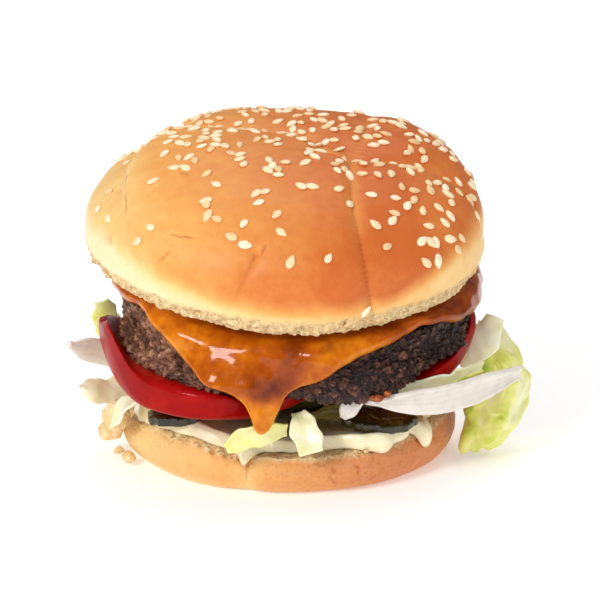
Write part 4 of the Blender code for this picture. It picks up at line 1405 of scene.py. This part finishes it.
class BURGER_OT_bits(Operator):
    """Adds the torn bread at the left, the crumbs and the crisp bits"""

    bl_idname = "burger.add_bits"
    bl_label = "Add the loose bits"

    def execute(self, context):
        done(torn_bit("torn_bread_upper", (-44.6, -17.6, 13.2), (3.4, 3.2, 4.0), 2.0), crust_finish, "crumb",
             "crumb_left_upper")
        done(torn_bit("torn_bread_lower", (-46.6, -9.6, 7.0), (3.2, 3.2, 2.5), 5.0), crust_finish, "crumb",
             "crumb_left_lower")
        small = [torn_bit("crumb", centre, (size, size, size * 0.8), number, 20, 12)
                 for number, (centre, size) in enumerate((
                     ((-41.6, -17.2, 2.4), 1.9), ((-44.2, -15.6, 3.6), 1.3), ((-20.4, -39.4, 11.8), 0.9),
                     ((-23.2, -37.6, 12.4), 0.8), ((-17.4, -40.6, 11.2), 0.7), ((20, -38.8, 11.2), 0.7),
                     ((-41.2, 14.6, 11.6), 1.0), ((40.6, 16.0, 11.8), 0.9), ((5.6, 42.6, 12.2), 0.9)))]
        done(join("crumbs", small), crust_finish, "crumb")
        crisp = [torn_bit("crisp", centre, radii, 40 + number, 28, 16)
                 for number, (centre, radii) in enumerate((
                     ((22.4, -43.8, 26.8), (1.9, 1.1, 1.0)), ((25.2, -43.0, 27.6), (1.1, 0.9, 1.0)),
                     ((-47.2, -9.2, 50.6), (1.1, 1.2, 0.9))))]
        done(join("crisp_bits", crisp), char_finish, "patty")
        return {"FINISHED"}


# ---------------------------------------------------------------- stage


class BURGER_OT_stage(Operator):
    """Adds the pale floor, the soft lights and the camera"""

    bl_idname = "burger.add_stage"
    bl_label = "Add the stage"

    def execute(self, context):
        stage = context.scene.burger_stage
        bpy.ops.object.select_all(action="DESELECT")
        bpy.ops.mesh.primitive_plane_add(size=FLOOR_SIZE)
        floor = named("floor")
        made, _, _ = new_material(
            "floor", Roughness=0.9, Base_Color=(0.94, 0.94, 0.94, 1), Specular_IOR_Level=0.1,
            Emission_Color=(1, 1, 1, 1), Emission_Strength=0.28)
        floor.data.materials.append(made)
        world = bpy.data.worlds.new("surroundings")
        world.use_nodes = True
        sky = world.node_tree.nodes["Background"]
        sky.inputs["Color"].default_value = (1, 1, 1, 1)
        mirrored = add_node(world.node_tree, "LightPath").outputs["Is Glossy Ray"]
        strength = stage.sky_strength
        dimmed = calculate(world.node_tree, "MULTIPLY_ADD", mirrored, -0.7 * strength, strength)
        world.node_tree.links.new(dimmed, sky.inputs["Strength"])
        context.scene.world = world
        context.scene.view_settings.view_transform = "Standard"
        target = Vector((3.2, 0, 40)) * MM
        for name, place, size, power in (
            ("key", (-0.66, -0.90, 0.74), 0.36, stage.key_power),
            ("fill", (0.75, -0.9, 0.35), 0.8, stage.key_power * 0.22),
            ("top", (0.1, 0.5, 1.1), 0.8, stage.key_power * 0.45),
        ):
            lamp = bpy.data.lights.new(name, "AREA")
            lamp.energy, lamp.size = power, size
            light = bpy.data.objects.new(name, lamp)
            context.scene.collection.objects.link(light)
            light.location = place
            light.rotation_euler = (target - Vector(place)).to_track_quat("-Z", "Y").to_euler()
        back = Vector((0, -math.cos(stage.camera_lift), math.sin(stage.camera_lift)))
        camera = bpy.data.objects.new("camera", bpy.data.cameras.new("camera"))
        context.scene.collection.objects.link(camera)
        camera.location = target + back * stage.camera_distance
        camera.rotation_mode = "QUATERNION"
        camera.rotation_quaternion = (-back).to_track_quat("-Z", "Y")
        camera.data.sensor_width = 36
        camera.data.lens = LENS
        context.scene.camera = camera
        return {"FINISHED"}


# ---------------------------------------------------------------- add-on


SETTINGS = {"burger_roll": RollSettings, "burger_filling": FillingSettings, "burger_stage": StageSettings}
OPERATORS = (
    BURGER_OT_heel, BURGER_OT_tomatoes, BURGER_OT_patty, BURGER_OT_cheese, BURGER_OT_crown, BURGER_OT_seeds,
    BURGER_OT_lettuce, BURGER_OT_onions, BURGER_OT_pickles, BURGER_OT_bits, BURGER_OT_stage)


class BURGER_PT_panel(Panel):
    bl_label = "Cheeseburger"
    bl_idname = "BURGER_PT_panel"
    bl_space_type = "VIEW_3D"
    bl_region_type = "UI"
    bl_category = "Burger"

    def draw(self, context):
        for name, settings in SETTINGS.items():
            box = self.layout.box()
            for setting in settings.__annotations__:
                box.prop(getattr(context.scene, name), setting)
        for operator in OPERATORS:
            self.layout.operator(operator.bl_idname)


def register():
    for listed in (*SETTINGS.values(), *OPERATORS, BURGER_PT_panel):
        bpy.utils.register_class(listed)
    for name, settings in SETTINGS.items():
        setattr(bpy.types.Scene, name, PointerProperty(type=settings))


def unregister():
    for name in SETTINGS:
        delattr(bpy.types.Scene, name)
    for listed in (BURGER_PT_panel, *reversed(OPERATORS), *SETTINGS.values()):
        bpy.utils.unregister_class(listed)


def main():
    register()
    for operator in OPERATORS:
        family, name = operator.bl_idname.split(".")
        getattr(getattr(bpy.ops, family), name)()


if __name__ == "__main__":
    main()
